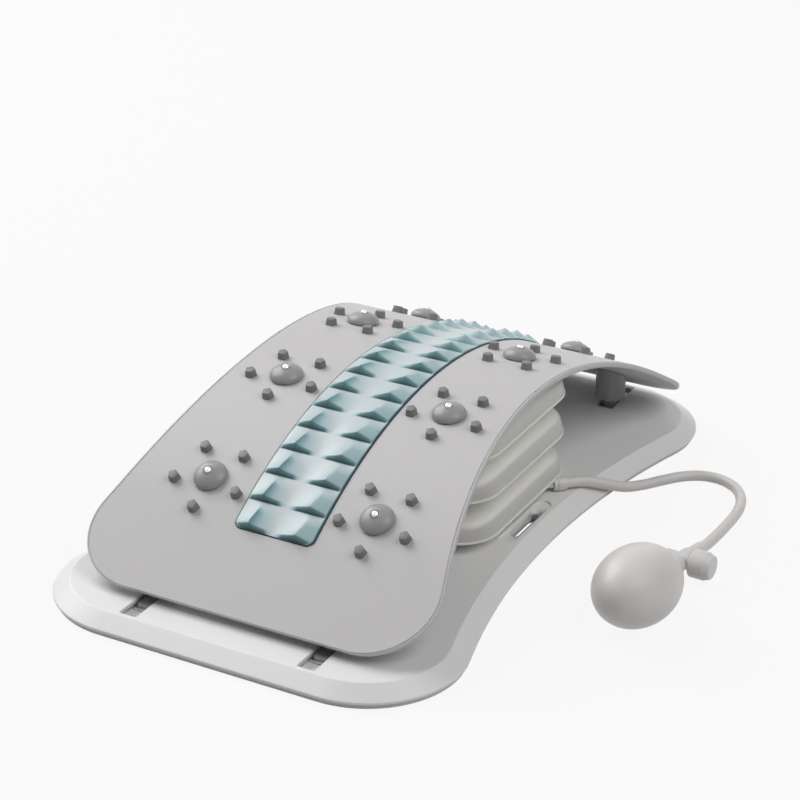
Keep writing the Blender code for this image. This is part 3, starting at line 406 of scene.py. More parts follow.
def make_foam():
    """Pale grey anti-slip foam: closed cells that show as shallow pits."""
    made, place, shader = material("mat_foam", Roughness=0.85)
    cells = place.node("ShaderNodeTexVoronoi", {}, {"Vector": place, "Scale": 520.0})
    cloud = noise(place, 40, 3)
    plug(shader, Base_Color=blend_colours(cloud * 0.5 + cells * 0.7, rgba(0.72), rgba(0.86)))
    plug(shader, Roughness=cells * 0.2 + 0.72)
    plug(shader, Normal=bump(cells, 0.6, 0.0004))
    return made


def make_film():
    """Milky film of the air pillows; light goes some way in; the pinched walls get painted shade.
    """
    depth = {"Subsurface_Radius": (0.012, 0.011, 0.008), "Subsurface_Scale": 0.2}
    made, place, shader = material("chamber_film", Roughness=0.32, Subsurface_Weight=0.25, **depth)
    cloud = noise(place, 35, 3)
    # The "wall" attribute marks painted shade on the pinched walls, which take the darker colour.
    wall = place.node("ShaderNodeAttribute", {"attribute_name": "wall"}, output=2)
    milk = blend_colours(cloud, (0.83, 0.825, 0.785, 1), (0.90, 0.895, 0.855, 1))
    plug(shader, Base_Color=blend_colours(wall, milk, (0.58, 0.572, 0.54, 1)))
    plug(shader, Roughness=cloud * 0.14 + 0.26)
    plug(shader, Normal=bump(noise(place, 140, 2), 0.25, 0.0006))
    return made


def make_gel():
    """Clear teal gel: pale where thin, teal along the ridges, with painted shade in faces and
    edges.
    """
    made, place, shader = material("strip_gel", Roughness=0.3, IOR=1.45)
    # The "depth" attribute holds the ridges' tint and painted shade; the dark end of the ramp is
    # painted shade.
    depth = place.node("ShaderNodeAttribute", {"attribute_name": "depth"}, output=2)
    cloud = noise(place, 70, 2)
    stops = [(0.0, (0.63, 0.695, 0.715)), (0.4, (0.44, 0.59, 0.615))]
    stops += [(0.7, (0.165, 0.335, 0.36)), (1.0, (0.04, 0.10, 0.11))]
    tint = depth.node("ShaderNodeValToRGB", {"stops": stops}, {0: depth + (cloud - 0.5) * 0.12})
    plug(shader, Base_Color=tint)
    plug(shader, Roughness=cloud * 0.1 + 0.28)
    return made


board_grey = make_board_grey()
bead_steel = make_steel("bead_steel", 0.08)
fixing_steel = make_steel("fixing_steel", 0.25)
mat_foam = make_foam()
chamber_film = make_film()
strip_gel = make_gel()
print("nodes in the gel", len(strip_gel.node_tree.nodes))

# %% [markdown]
# ## The hose
# Cords come first, because their lie decides how much room the object takes. The photograph holds
# the hose up by its bulb. Here it lies down: out of the pillow's port, over the edge of the base
# and round in one loose bend to the bulb on the floor. The route repeats the solid's points, and
# a smooth curve is read from them.

# %% The hose
HOSE_DIAMETER = 6 * MM
HOSE_ROUTE = (
    (83.0, 45.0, 14.0), (87.0, 49.0, 14.0), (91.5, 53.6, 13.3),
    (99.0, 62.0, 9.7), (107.0, 72.0, 5.4), (114.0, 83.0, 3.6),
    (121.0, 94.0, 3.2), (129.0, 104.0, 3.2), (139.0, 110.5, 3.2),
    (150.0, 111.0, 3.2), (160.0, 106.0, 3.2), (167.0, 97.0, 3.2),
    (171.0, 86.0, 3.2), (172.5, 74.0, 3.2), (172.6, 61.0, 3.2),
    (172.3, 48.0, 3.3), (171.9, 36.0, 3.9), (171.5, 26.0, 5.5),
)


def smooth_line(points, steps):
    """A smooth curve through the points: between two of them it is a cubic in t whose slopes
    are half the differences of the neighbours."""
    p = np.asarray(points, float) * MM
    p = np.concatenate([p[:1], p, p[-1:]])
    t = np.linspace(0, 1, steps, endpoint=False)[None, :, None]
    a, b, c, d = (p[i : len(p) - 3 + i, None, :] for i in range(4))
    square, cube = 2 * a - 5 * b + 4 * c - d, 3 * b - a - 3 * c + d
    curve = 0.5 * (2 * b + (c - a) * t + square * t**2 + cube * t**3)
    return np.concatenate([curve.reshape(-1, 3), p[-1:]])


def make_hose():
    line = smooth_line(HOSE_ROUTE, 5)
    curve = bpy.data.curves.new("hose", "CURVE")
    curve.dimensions = "3D"
    curve.bevel_depth = HOSE_DIAMETER / 2
    curve.bevel_resolution = 6
    curve.use_fill_caps = True
    spline = curve.splines.new("POLY")
    spline.points.add(len(line) - 1)
    spline.points.foreach_set("co", np.c_[line, np.ones(len(line))].ravel())
    obj = add_object("hose", curve)
    carry(obj, "base", pump_rubber, "pump_rubber", "air_hose")
    return line


hose_line = make_hose()

# %% [markdown]
# ## The bend of the board
# Everything on top follows one curve: an arc over the middle with straight ends. Distances are
# measured along it from its highest point, so a part keeps its real size on the slope.

# %% The bend
ARCH_RADIUS = 250 * MM
ARCH_ANGLE = math.radians(32.5)
CREST_HEIGHT = 85 * MM
CREST_Y = 7 * MM
BOARD_THICKNESS = 3 * MM


def bow(s, lift=0.0):
    """World y and z at arc length s and a height over the board's top face, and the slope.

    On the arc the slope is s / R, so y = R sin(slope) and z = -R (1 - cos(slope)). Past the
    arc the slope stays and the board runs on straight.
    """
    s = np.asarray(s, float)
    bent = np.clip(s, -ARCH_RADIUS * ARCH_ANGLE, ARCH_RADIUS * ARCH_ANGLE)
    slope = bent / ARCH_RADIUS
    y = ARCH_RADIUS * np.sin(slope) + (s - bent) * np.cos(slope)
    z = -ARCH_RADIUS * (1 - np.cos(slope)) - (s - bent) * np.sin(slope)
    return CREST_Y + y + lift * np.sin(slope), CREST_HEIGHT + z + lift * np.cos(slope), slope


def on_bow(x, s, lift):
    """Points (x, s, lift) of the unrolled board carried onto the bend."""
    x, s, lift = np.broadcast_arrays(x, s, lift)
    y, z, _ = bow(s, lift)
    return np.stack([x, y, z], -1)


def bow_matrix(x, s):
    """Frame on the board's top face: Z is its normal, Y runs along the spine."""
    y, z, slope = (float(v) for v in bow(s))
    return Matrix.Translation((x, y, z)) @ Matrix.Rotation(-slope, 4, "X")


END_WORDS = {-1: "front", 1: "rear"}


def flex(obj, end, material, slot, *stands_for):
    """Give a piece on the board its finish in place of the solids it covers, its place kept in its
    mesh.
    """
    carry(obj, None, material, slot, *stands_for)
    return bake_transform(obj)


# %% [markdown]
# ## Outlines
# Base and board have the same kind of outline: hollow sides and round corners. The side is an arc
# whose centre lies outside, the corner an arc that touches it and the straight end. An outline
# that is drawn in by an even distance only changes the four sizes.

# %% Outlines
BASE_SIZE = (192 * MM, 512 * MM, 52 * MM, 400 * MM)
BOARD_SIZE = (162 * MM, 609 * MM, 35 * MM, 394 * MM)


def outline(size, inset, side_rows=40, corner_rows=24):
    """Half an outline from its front end to its rear one, as y and half-width.

    The corner arc's centre is as far from the side arc's centre as their radii added up, so
    the point where they touch lies on the line between the two centres.
    """
    waist, side, corner, length = size
    waist, length = waist - 2 * inset, length - 2 * inset
    side, corner = side + inset, corner - inset
    side_x, corner_y = waist / 2 + side, length / 2 - corner
    reach = math.sqrt((side + corner) ** 2 - corner_y**2)
    meet = math.atan2(corner_y, reach)
    a = np.linspace(0, meet, side_rows + 1)
    b = np.linspace(-meet, math.pi / 2, corner_rows + 1)[1:]
    y = np.concatenate([side * np.sin(a), corner_y + corner * np.sin(b)])
    x = np.concatenate([side_x - side * np.cos(a), side_x - reach + corner * np.cos(b)])
    return np.concatenate([-y[:0:-1], y]), np.concatenate([x[:0:-1], x])


def outline_ring(size, inset, z):
    """The whole outline as a ring of points at height z, anticlockwise from above."""
    y, x = outline(size, inset)
    ring = np.concatenate([np.stack([x, y], -1), np.stack([-x, y], -1)[::-1]])
    return np.c_[ring, np.full(len(ring), z)]


# %% [markdown]
# ## The board
# The real board is a sheet of plastic, 3 mm thick with a rounded edge, that was moulded flat and
# bowed when its feet went into the slots. It is made in two halves that meet at the crest. Its
# outline is filled with a grid, and the recess of the ridge strip is a dip in the same grid.

# %% The board
STRIP_WIDTH = 46.4 * MM
TILE_PITCH = 17.5 * MM
STRIP_TILES = 17
STRIP_GAP = 0.5 * MM
STRIP_RECESS = 1.2 * MM
STRIP_CORNER = 4 * MM
STRIP_LENGTH = TILE_PITCH * STRIP_TILES
RECESS_END = STRIP_LENGTH / 2 + STRIP_GAP
RECESS_STEP = 0.02 * MM
RECESS_LIP = 0.3 * MM
RIM_EDGE = 0.9 * MM
RIM_GROOVE = 0.5 * MM


def recess_half_width(s, gap):
    """Half-width of the strip's outline with its round corners; nothing past its ends."""
    half, radius = STRIP_WIDTH / 2 + gap, STRIP_CORNER + gap
    into = np.abs(s) - (STRIP_LENGTH / 2 + gap - radius)
    inside = np.sqrt(np.clip(radius**2 - np.clip(into, 0, None) ** 2, 0, None))
    return np.where(into < 0, half, np.where(into <= radius, half - radius + inside, 0.0))


def board_rows():
    """Arc lengths and half-widths from the crest to the board's end.

    Two more rows, just before and just behind the recess's end, make its end wall.
    """
    y, x = outline(BOARD_SIZE, 0.0, side_rows=70, corner_rows=30)
    keep = y >= 0
    s = np.unique(np.append(y[keep], [RECESS_END - RECESS_STEP, RECESS_END + RECESS_STEP]))
    return s, np.interp(s, y[keep], x[keep])


def board_columns(s, half):
    """Columns of the board's section: distance from the middle and height over its top face.

    They go from the recess over the groove and the rim to the middle of the underside. The rim
    bulges by sin(a)^0.8 while it falls by (1 - cos a) / 2 of the thickness.
    """
    flat = np.zeros_like(s)
    sunk = recess_half_width(s, STRIP_GAP)
    deep = np.where(sunk > 0, -STRIP_RECESS, 0.0)
    wall = np.where(sunk > 0, sunk, STRIP_WIDTH / 2 * 0.6)
    rim = half - RIM_EDGE
    top = rim - 2 * RIM_GROOVE - wall - RECESS_LIP
    columns = [(wall * k, deep) for k in (0.0, 0.5, 0.98, 1.0)]
    columns += [(wall + 0.05 * MM, flat), (wall + RECESS_LIP, flat)]
    columns += [(wall + RECESS_LIP + top * k, flat) for k in (0.2, 0.4, 0.6, 0.8, 1.0)]
    columns += [(rim - RIM_GROOVE * k, flat - RIM_GROOVE) for k in (1.8, 0.4)]
    columns.append((rim, flat - 0.1 * MM))
    for a in np.linspace(0, math.pi, 9)[1:-1]:
        fall = BOARD_THICKNESS / 2 * (1 - math.cos(a))
        columns.append((rim + RIM_EDGE * math.sin(a) ** 0.8, flat - fall))
    return columns + [(rim * k, flat - BOARD_THICKNESS) for k in (1.0, 0.66, 0.33, 0.0)]


def make_board_half(end):
    """One half: the top sheet with its recess, the rounded rim and the underside."""
    s, half = board_rows()
    x, lift = (np.stack(part, 1) for part in zip(*board_columns(s, half)))
    x = np.concatenate([x, -x[:, -2:0:-1]], 1)
    lift = np.concatenate([lift, lift[:, -2:0:-1]], 1)
    rings = on_bow(x, end * s[:, None], lift)
    if end > 0:
        rings = rings[:, ::-1]
    obj = rings_object(f"board_{END_WORDS[end]}", rings, sharp=35)
    return flex(obj, end, board_grey, "board_plastic", "arch_board")


boards = [make_board_half(end) for end in (-1, 1)]
print("board halves", [len(b.data.polygons) for b in boards])

# %% [markdown]
# ## Nubs
# Each dome has a ring of five small five-sided nubs that were moulded with the board. They are
# darker than it, close to the domes' tone. One pattern is placed by matrices, and each half of
# the board gets its own mesh.

# %% Nubs
DOME_X = 49.5 * MM
DOME_S = (-124.5 * MM, -42.5 * MM, 42.5 * MM, 124.5 * MM)
NUB_RING = 20 * MM
NUB_COUNT = 5
NUB_SIDES = 5
NUB_EDGE_TURN = 0.1
NUB_PROFILE = ((3.4, -0.6), (3.35, 0.15), (2.85, 3.9), (0.0, 4.0))


def nub_rings():
    """Rings of one nub: five corners, each a pair of points, so that its edges are soft."""
    turn = math.pi / 2 + 2 * math.pi * np.arange(NUB_SIDES) / NUB_SIDES
    corner = np.stack([turn - NUB_EDGE_TURN, turn + NUB_EDGE_TURN], -1).ravel()
    profile = rounded(NUB_PROFILE, 0.4, 4)[:-1] * MM
    radius, height = profile.T
    ring = np.stack([np.cos(corner), np.sin(corner)], -1)
    flat = radius[:, None, None] * ring[None]
    return np.concatenate([flat, np.broadcast_to(height[:, None, None], (*flat.shape[:2], 1))], -1)


def make_nubs(end):
    """The nubs of one half: each is the same stack of rings, closed at its top and underside."""
    rings = nub_rings()
    levels, count = rings.shape[:2]
    verts, faces, start = [], [], 0
    for s in (v for v in DOME_S if v * end > 0):
        for side in (-1, 1):
            for k in range(NUB_COUNT):
                a = end * math.pi / 2 + 2 * math.pi * k / NUB_COUNT
                across, along = NUB_RING * math.cos(a), NUB_RING * math.sin(a)
                points = moved(rings, bow_matrix(side * DOME_X + across, s + along))
                verts += [points.reshape(-1, 3), points[-1:].mean(1)]
                faces += grid_faces(levels, count, start)
                top = start + (levels - 1) * count
                faces += fan_faces(np.arange(count) + top, start + levels * count)
                faces.append(list(range(start, start + count))[::-1])
                start += levels * count + 1
    obj = mesh_object(f"nubs_{END_WORDS[end]}", np.concatenate(verts), faces, sharp=50)
    return flex(obj, end, nub_grey, "board_plastic")


nubs = [make_nubs(end) for end in (-1, 1)]
print("nubs", [len(n.data.polygons) for n in nubs])

# %% [markdown]
# ## Domes and beads
# A massage dome is a turned rubber knob, held by a stud through the board, with a hard bright
# bead pressed into its top. A profile is turned about the board's normal.

# %% Domes and beads
DOME_RADIUS = 9.2
DOME_HEIGHT = 6.3
DOME_SKIRT_TOP = 1.1
DOME_SHARPNESS = 1.1
STUD_RADIUS = 3.0
STUD_DEPTH = 2.7
BEAD_RADIUS = 2.0
BEAD_SEAT = 1.2
DOME_ROWS = ("lower", "lower_mid", "upper_mid", "upper")


def dome_profile():
    """Stud, flat underside, short skirt and a rounded cap with r = R cos(a)^p, h = H sin(a)."""
    a = np.linspace(0, math.pi / 2, 22)
    rise = DOME_HEIGHT - DOME_SKIRT_TOP
    cap = np.c_[DOME_RADIUS * np.cos(a) ** DOME_SHARPNESS, DOME_SKIRT_TOP + rise * np.sin(a)]
    cap = cap[cap[:, 0] > BEAD_RADIUS + 0.5]
    seat = [(BEAD_RADIUS + 0.42, DOME_HEIGHT + 0.12), (BEAD_RADIUS + 0.2, DOME_HEIGHT + 0.02)]
    seat += [(BEAD_RADIUS + 0.12, DOME_HEIGHT - BEAD_SEAT)]
    stud = [(STUD_RADIUS, -STUD_DEPTH), (STUD_RADIUS, 0.3)]
    skirt = [(DOME_RADIUS - 0.3, 0.3), (DOME_RADIUS, 0.6)]
    return np.concatenate([stud, skirt, cap, seat]) * MM


def bead_profile():
    """A ball's cap over a short neck."""
    a = np.linspace(0, math.pi / 2, 12)[:-1]
    cap = np.c_[BEAD_RADIUS * np.cos(a), DOME_HEIGHT - 0.35 + 1.5 * np.sin(a)]
    return np.concatenate([[(BEAD_RADIUS, DOME_HEIGHT - BEAD_SEAT)], cap]) * MM


def make_domes():
    made = []
    for row, s in zip(DOME_ROWS, DOME_S):
        for side, x in (("left", -DOME_X), ("right", DOME_X)):
            end = -1 if s < 0 else 1
            matrix = bow_matrix(x, s)
            name = f"{row}_{side}"
            dome = revolve(f"dome_{name}", dome_profile(), matrix, segments=56, sharp=50)
            bead = revolve(f"bead_{name}", bead_profile(), matrix, segments=28)
            made.append(flex(dome, end, dome_grey, "dome_rubber", f"massage_dome_{name}"))
            made.append(flex(bead, end, bead_steel, "bead_steel", f"dome_bead_{name}"))
    return made


domes = make_domes()
print("domes and beads", len(domes))

# %% [markdown]
# ## Ridge strip
# Seventeen tiles are moulded as one strip of clear gel, laid in the board's recess. A tile rises
# on a leaning face and slopes down to the next. Across it the outer flanks rise flat to two
# peaks, and the middle is hollow. One surface gives it all, in two halves that meet at the crest.
# The gel's depth is stored with the points, and with it painted shade: at the foot of each leaning
# face, on the slopes turned away from the key light and as a shadow line along the edges. Behind
# the crest all of it but the edges is halved, so the strip turns pale there.

# %% Ridge strip
TILE_RISE = 4.4 * MM
TILE_FACE_RUN = 2.1 * MM
TILE_HEEL = 1.6 * MM
TILE_PEAK = 0.6
TILE_ROWS = (0, 0.25, 0.8, 1.4, 1.85, 2.1, 2.5, 3.2, 5, 7.5, 10, 12.5, 14.5, 15.9, 16.7)
STRIP_BASE = 1.6 * MM
STRIP_FLOOR = 0.3 * MM - STRIP_RECESS
# Past this share of the half-width the top carries a painted shadow line; the sides get painted
# shade.
SHADOW_LINE_SHARE = 0.975
SIDE_SHADE = 0.8


def tile_share(s):
    """How far a tile has risen at arc length s, from 0 at its foot to 1 at its brow."""
    along = np.mod(s + STRIP_LENGTH / 2, TILE_PITCH)
    places = [0, TILE_FACE_RUN * 0.88, TILE_FACE_RUN * 1.2, TILE_PITCH - TILE_HEEL, TILE_PITCH]
    return np.interp(along, places, [0.0, 0.95, 1.0, 0.05, 0.0])


def tile_across(u):
    """Share of the rise across the strip: flat outer flanks and a hollow middle."""
    u = np.abs(u)
    return np.where(u >= TILE_PEAK, (1 - u) / (1 - TILE_PEAK), (u / TILE_PEAK) ** 1.7)


def strip_places(end):
    """Arc lengths of one half's rows, close together at each tile's foot and brow."""
    start = -STRIP_LENGTH / 2 + TILE_PITCH * np.arange(STRIP_TILES)
    s = np.concatenate([(start[:, None] + np.array(TILE_ROWS) * MM).ravel(), [STRIP_LENGTH / 2]])
    corner = STRIP_LENGTH / 2 - STRIP_CORNER * (1 - np.sin(np.linspace(0, math.pi / 2, 8)))
    s = np.unique(np.concatenate([s, corner, -corner, [0.0]]).round(7))
    return s[s * end >= 0]


def gel_tint_and_shade(s, u, share):
    """How dark the gel is at each point of the top, from 0 for pale to 1 for dark.

    A ridge is tinted by its height, as thicker gel is. The rest is painted shade: a leaning face
    is darkest at its foot, and the slopes that turn away from the key light, left of the middle
    and right of the right peak, are darker too. A painted shadow line runs along the edge. All of
    it halves between 10 and 60 mm behind the crest, but for the edge.
    """
    along = np.mod(s + STRIP_LENGTH / 2 + 1e-7, TILE_PITCH)[:, None]
    thick, risen = tile_across(u)[None, :], share[:, None]
    # Painted shade at the foot of each leaning face.
    face = np.interp(along, [0, TILE_FACE_RUN, TILE_FACE_RUN + 0.3 * MM], [1.1, 0.55, 0.0])
    ridge = np.maximum(face * np.clip(thick * 5, 0, 1), 0.4 * thick * risen)
    # Painted shade on the slopes turned away from the key light.
    away = [(u > -TILE_PEAK) & (u < 0), u > TILE_PEAK]
    slope = np.select(away, [0.85 * thick, 0.47], 0) * np.clip(risen * 2.5, 0, 1)
    fade = np.interp(s / MM, [10, 60], [1.0, 0.5])[:, None]
    # A painted shadow line along the edge; the rest fades behind the crest.
    return np.where(np.abs(u) > SHADOW_LINE_SHARE, 1.0, np.maximum(ridge, slope) * fade)


def make_strip_half(end):
    """One half: each row is a ring of two corners in the recess and the points of the top."""
    s = strip_places(end)
    half = np.maximum(recess_half_width(s, 0.0), STRIP_WIDTH / 2 - STRIP_CORNER)
    creases = np.outer([-1, 1], [TILE_PEAK, 0.965, 0.98]).ravel()
    u = np.unique(np.concatenate([np.linspace(-1, 1, 25), creases]))
    share = tile_share(s)
    rise = STRIP_BASE + TILE_RISE * share[:, None] * tile_across(u)[None, :]
    x_top = half[:, None] * u[None, :] * np.where(np.abs(u) > 0.999, 1.0, 0.999)
    low = np.full((len(s), 1), STRIP_FLOOR)
    x = np.concatenate([-half[:, None], half[:, None], x_top[:, ::-1]], 1)
    lift = np.concatenate([low, low, STRIP_FLOOR + rise[:, ::-1]], 1)
    rings = on_bow(x, s[:, None], lift)
    obj = rings_object(f"strip_{END_WORDS[end]}", rings[::-1], sharp=35, flat_ends=True)
    # Painted shade on the strip's sides, then the top's tint and painted shade.
    side = np.full((len(s), 2), SIDE_SHADE)
    depth = np.concatenate([side, gel_tint_and_shade(s, u, share)[:, ::-1]], 1)[::-1]
    point_values(obj, "depth", depth)
    return flex(obj, end, strip_gel, "strip_gel", "spine_strip")


strips = [make_strip_half(end) for end in (-1, 1)]
print("strip", [len(s.data.polygons) for s in strips])

# %% [markdown]
# ## Base plate
# An injection-moulded plate with a wide chamfer all round and a rim that stands on the mat. The
# skin is a stack of outlines drawn in by growing distances. Slots, finger dishes and the hollow
# underside are cut out, as the tool's cores do. Ribs, floors under the slots' outer halves and
# walls round the finger slots are what the hollow leaves standing. The mat under the rim is a thin
# sheet of foam with the same outline, open under the shoes and the finger slots.

# %% Base plate
BASE_FOOT = 3.0 * MM
PLATE_TOP = 10.0 * MM
PLATE_UNDER = 7.2 * MM
ABOVE_PLATE = 12 * MM
PAST_EDGE = 0.2
RIB_WIDTH = 2 * MM
LONG_RIB_X = (-22 * MM, 22 * MM)
CROSS_RIB_Y = (-110 * MM, -55 * MM, 55 * MM, 110 * MM)
SLOT_WIDTH = 10.2 * MM
SLOT_LENGTH = 35.5 * MM
SLOT_CORNER = 1.0 * MM
SLOT_Y = 171.05 * MM
POCKET_MARGIN = 4.6 * MM
POCKET_START = 173 * MM
POCKET_FLOOR = (3.8 * MM, 4.7 * MM)
FRONT_SLOT_X = 52 * MM
REAR_SLOT_X = 58 * MM
GRIP_X = 79.5 * MM
GRIP_SIZE = (34 * MM, 6 * MM)
GRIP_DISH = (54 * MM, 9.6 * MM)
GRIP_DISH_DEPTH = 1.3 * MM
GRIP_WALL = (38 * MM, 10 * MM)
MAT_INSET = 1.5
MAT_THICKNESS = 2.7
MAT_EDGE = 0.2
MAT_MARGIN = 3.6 * MM
FEET = ((-FRONT_SLOT_X, -1), (FRONT_SLOT_X, -1), (-REAR_SLOT_X, 1), (REAR_SLOT_X, 1))


def outline_solid(name, levels):
    """A closed skin through outlines of the base, each drawn in by its inset at its height."""
    rings = np.stack([outline_ring(BASE_SIZE, inset * MM, z * MM) for inset, z in levels])
    return rings_object(name, rings, sharp=20, flat_ends=True)


def slot_tool(length, width, low, high, at, corner=None):
    """A block for cutting a slot: its ends are round, or only its corners if a radius is given."""
    r = width / 2 if corner is None else corner
    a = np.linspace(0, math.pi / 2, 9)
    quarter = np.stack([width / 2 - r + r * np.cos(a), length / 2 - r + r * np.sin(a)], -1)
    half = np.concatenate([quarter, quarter[::-1] * (-1, 1)])
    ring = np.concatenate([half, -half]) + np.array(at)
    rings = np.stack([np.c_[ring, np.full(len(ring), z)] for z in (low, high)])
    return rings_object("slot_tool", rings)


def block_tool(low, high):
    """A plain block between two opposite corners."""
    x, y, z = np.meshgrid(*np.sort([low, high], axis=0).T, indexing="ij")
    corners = np.stack([x, y, z], -1).reshape(-1, 3)
    ends = [(0, 1, 3, 2), (4, 6, 7, 5)]
    sides = [(0, 4, 5, 1), (2, 3, 7, 6), (0, 2, 6, 4), (1, 5, 7, 3)]
    return mesh_object("block_tool", corners, ends + sides)


def cut(obj, tools):
    """Take the tools out of a piece, keep its finished mesh and delete them."""
    for tool in tools:
        step = obj.modifiers.new("cut", "BOOLEAN")
        step.operation, step.solver, step.object = "DIFFERENCE", "EXACT", tool
    smooth = obj.modifiers.new("normals", "WEIGHTED_NORMAL")
    smooth.keep_sharp = True
    graph = bpy.context.evaluated_depsgraph_get()
    made = bpy.data.meshes.new_from_object(obj.evaluated_get(graph))
    obj.modifiers.clear()
    obj.data = made
    for tool in tools:
        bpy.data.objects.remove(tool, do_unlink=True)


def rib_blocks():
    """Blocks to take out of the hollow: long and cross ribs, the walls and floors of the shoes'
    pockets, and the walls round the finger slots."""
    low, high, half = BASE_FOOT, PLATE_UNDER + 1 * MM, RIB_WIDTH / 2
    made = [((x - half, -PAST_EDGE, low), (x + half, PAST_EDGE, high)) for x in LONG_RIB_X]
    made += [((-PAST_EDGE, y - half, low), (PAST_EDGE, y + half, high)) for y in CROSS_RIB_Y]
    start, side = SLOT_Y - SLOT_LENGTH / 2 - POCKET_MARGIN, SLOT_WIDTH / 2 + POCKET_MARGIN
    under, floor = POCKET_FLOOR
    for x, end in FEET:
        left, right = x - side - half, x + side + half
        inner, outer = end * (start - RIB_WIDTH), end * PAST_EDGE
        for wall in (x - side - RIB_WIDTH, x + side):
            made.append(((wall, inner, low), (wall + RIB_WIDTH, outer, high)))
        made.append(((left, inner, low), (right, end * start, high)))
        made.append(((left, end * POCKET_START, under), (right, outer, floor)))
    length, width = GRIP_WALL
    for x in (-GRIP_X, GRIP_X):
        made.append(((x - width / 2, -length / 2, low), (x + width / 2, length / 2, high)))
    return [block_tool(*block) for block in made]


def slot_tools(margin, low, high):
    """A cutter for each shoe's slot, wider and longer than it by a margin on each side."""
    length, width = SLOT_LENGTH + 2 * margin, SLOT_WIDTH + 2 * margin
    places = [(x, end * SLOT_Y) for x, end in FEET]
    return [slot_tool(length, width, low, high, at, SLOT_CORNER) for at in places]


def make_base_plate():
    """The skin from the foot over the wide chamfer to the top, less the hollow and the slots."""
    levels = [(0.0, 3.0), (0.0, 3.7), (0.12, 4.1), (0.45, 4.45)]
    levels += [(8.3, 9.3), (8.75, 9.62), (9.2, 9.87), (9.7, 10.0)]
    plate = outline_solid("base_plate_skin", levels)
    hollow = outline_solid("hollow", [(2.4, 2.0), (2.8, 4.0), (9.5, 7.2)])
    cut(hollow, rib_blocks())
    tools = [hollow] + slot_tools(0, POCKET_FLOOR[1] + 0.3 * MM, ABOVE_PLATE)
    for at in ((-GRIP_X, 0), (GRIP_X, 0)):
        tools.append(slot_tool(*GRIP_DISH, PLATE_TOP - GRIP_DISH_DEPTH, ABOVE_PLATE, at))
        tools.append(slot_tool(*GRIP_SIZE, 1 * MM, ABOVE_PLATE, at))
    cut(plate, tools)
    return carry(plate, "base", base_white, "white_plastic", "base_plate")


def make_mat():
    """The foam sheet under the rim, with soft edges."""
    drawn_in, top = MAT_INSET + MAT_EDGE, MAT_THICKNESS
    levels = [(drawn_in, 0.0), (MAT_INSET, MAT_EDGE), (MAT_INSET, top - MAT_EDGE), (drawn_in, top)]
    mat = outline_solid("mat_skin", levels)
    low, high = -1 * MM, 4 * MM
    grips = [slot_tool(*GRIP_WALL, low, high, (x, 0)) for x in (-GRIP_X, GRIP_X)]
    cut(mat, slot_tools(MAT_MARGIN, low, high) + grips)
    return carry(mat, "base", mat_foam, "mat_foam", "anti_slip_mat")


base_plate = make_base_plate()
mat = make_mat()
print("base plate and mat", len(base_plate.data.polygons), len(mat.data.polygons))

# %% [markdown]
# ## Air pillows
# Two sheets of film are welded along a narrow rim and swell between it when filled. The weld lies
# low, as in the photograph: over it the film stands up as a steep wall and then swells to the
# middle. The top pillow is pressed into the board's curve.

# %% Air pillows
CHAMBER_SIZE = (158 * MM, 20.0, 25 * MM, 124 * MM)
CHAMBER_Y = 5 * MM
CHAMBER_PITCH = 24 * MM
WELD_WIDTH = 1 * MM
WELD_DROP = 4.5 * MM
WELD_ROWS = (0.0, 0.15, 0.6)
WALL_RUN = 1.6 * MM
CROWN_RUN = 21 * MM
CROWN_ROWS = (0, 0.004, 0.014, 0.03, 0.05, 0.075, 0.1, 0.13, 0.18, 0.25, 0.35, 0.5, 0.75, 1.0)
MIDDLE_ROWS = (0.85, 0.68, 0.5, 0.32, 0.14)
PILLOW_GAP = 0.5 * MM
PILLOWS = ("lower", "middle", "upper")


def crown(inset):
    """Height over the weld and depth below it.

    Upwards a wall rises as a quarter circle next to the weld, and a swell 1 - (1 - t)^1.7 goes
    on to the middle. Downwards there is only a swell.
    """
    wall, t = (np.clip((inset - WELD_WIDTH) / run, 0, 1) for run in (WALL_RUN, CROWN_RUN))
    up = 0.6 + 6.4 * np.sqrt(1 - (1 - wall) ** 2) + 9.2 * (1 - (1 - t) ** 1.7)
    return up * MM, (0.6 + 6.6 * (1 - (1 - t) ** 2)) * MM


def underside(y):
    """Height of the board's underside over y, read from the bend."""
    s = np.linspace(-0.1, 0.1, 201)
    at_y, at_z, _ = bow(s, -BOARD_THICKNESS)
    return np.interp(y, at_y, at_z)


def pillow_insets():
    """How far each ring of a half lies inside the rim: over the weld, then up the crown."""
    return np.append(np.array(WELD_ROWS) * MM, WELD_WIDTH + CROWN_RUN * np.array(CROWN_ROWS))


def pillow_halves():
    """Rings of a pillow's lower and upper half, from its rim inwards.

    Past the crown the last ring is only drawn together, level, towards the middle.
    """
    insets = pillow_insets()
    rings = [outline_ring(CHAMBER_SIZE, inset, 0.0) for inset in insets]
    rings += [rings[-1] * k for k in MIDDLE_ROWS]
    up, down = (np.pad(h, (0, len(MIDDLE_ROWS)), "edge") for h in crown(insets))
    up[0], down[0] = 0.3 * MM, 0.3 * MM
    plan, upward = np.stack(rings), np.array([0, 0, 1])
    return plan - down[:, None, None] * upward, plan + up[:, None, None] * upward


def wall_shade_shares():
    """For each ring of a pillow, the share of painted shade on the pinched wall by the weld."""
    insets = pillow_insets()
    share = np.where(insets < WELD_WIDTH, 0, np.interp(insets / MM, [2.4, 3.8], [0.9, 0]))
    half = np.pad(share, (0, len(MIDDLE_ROWS)))
    return np.concatenate([half[::-1], half])


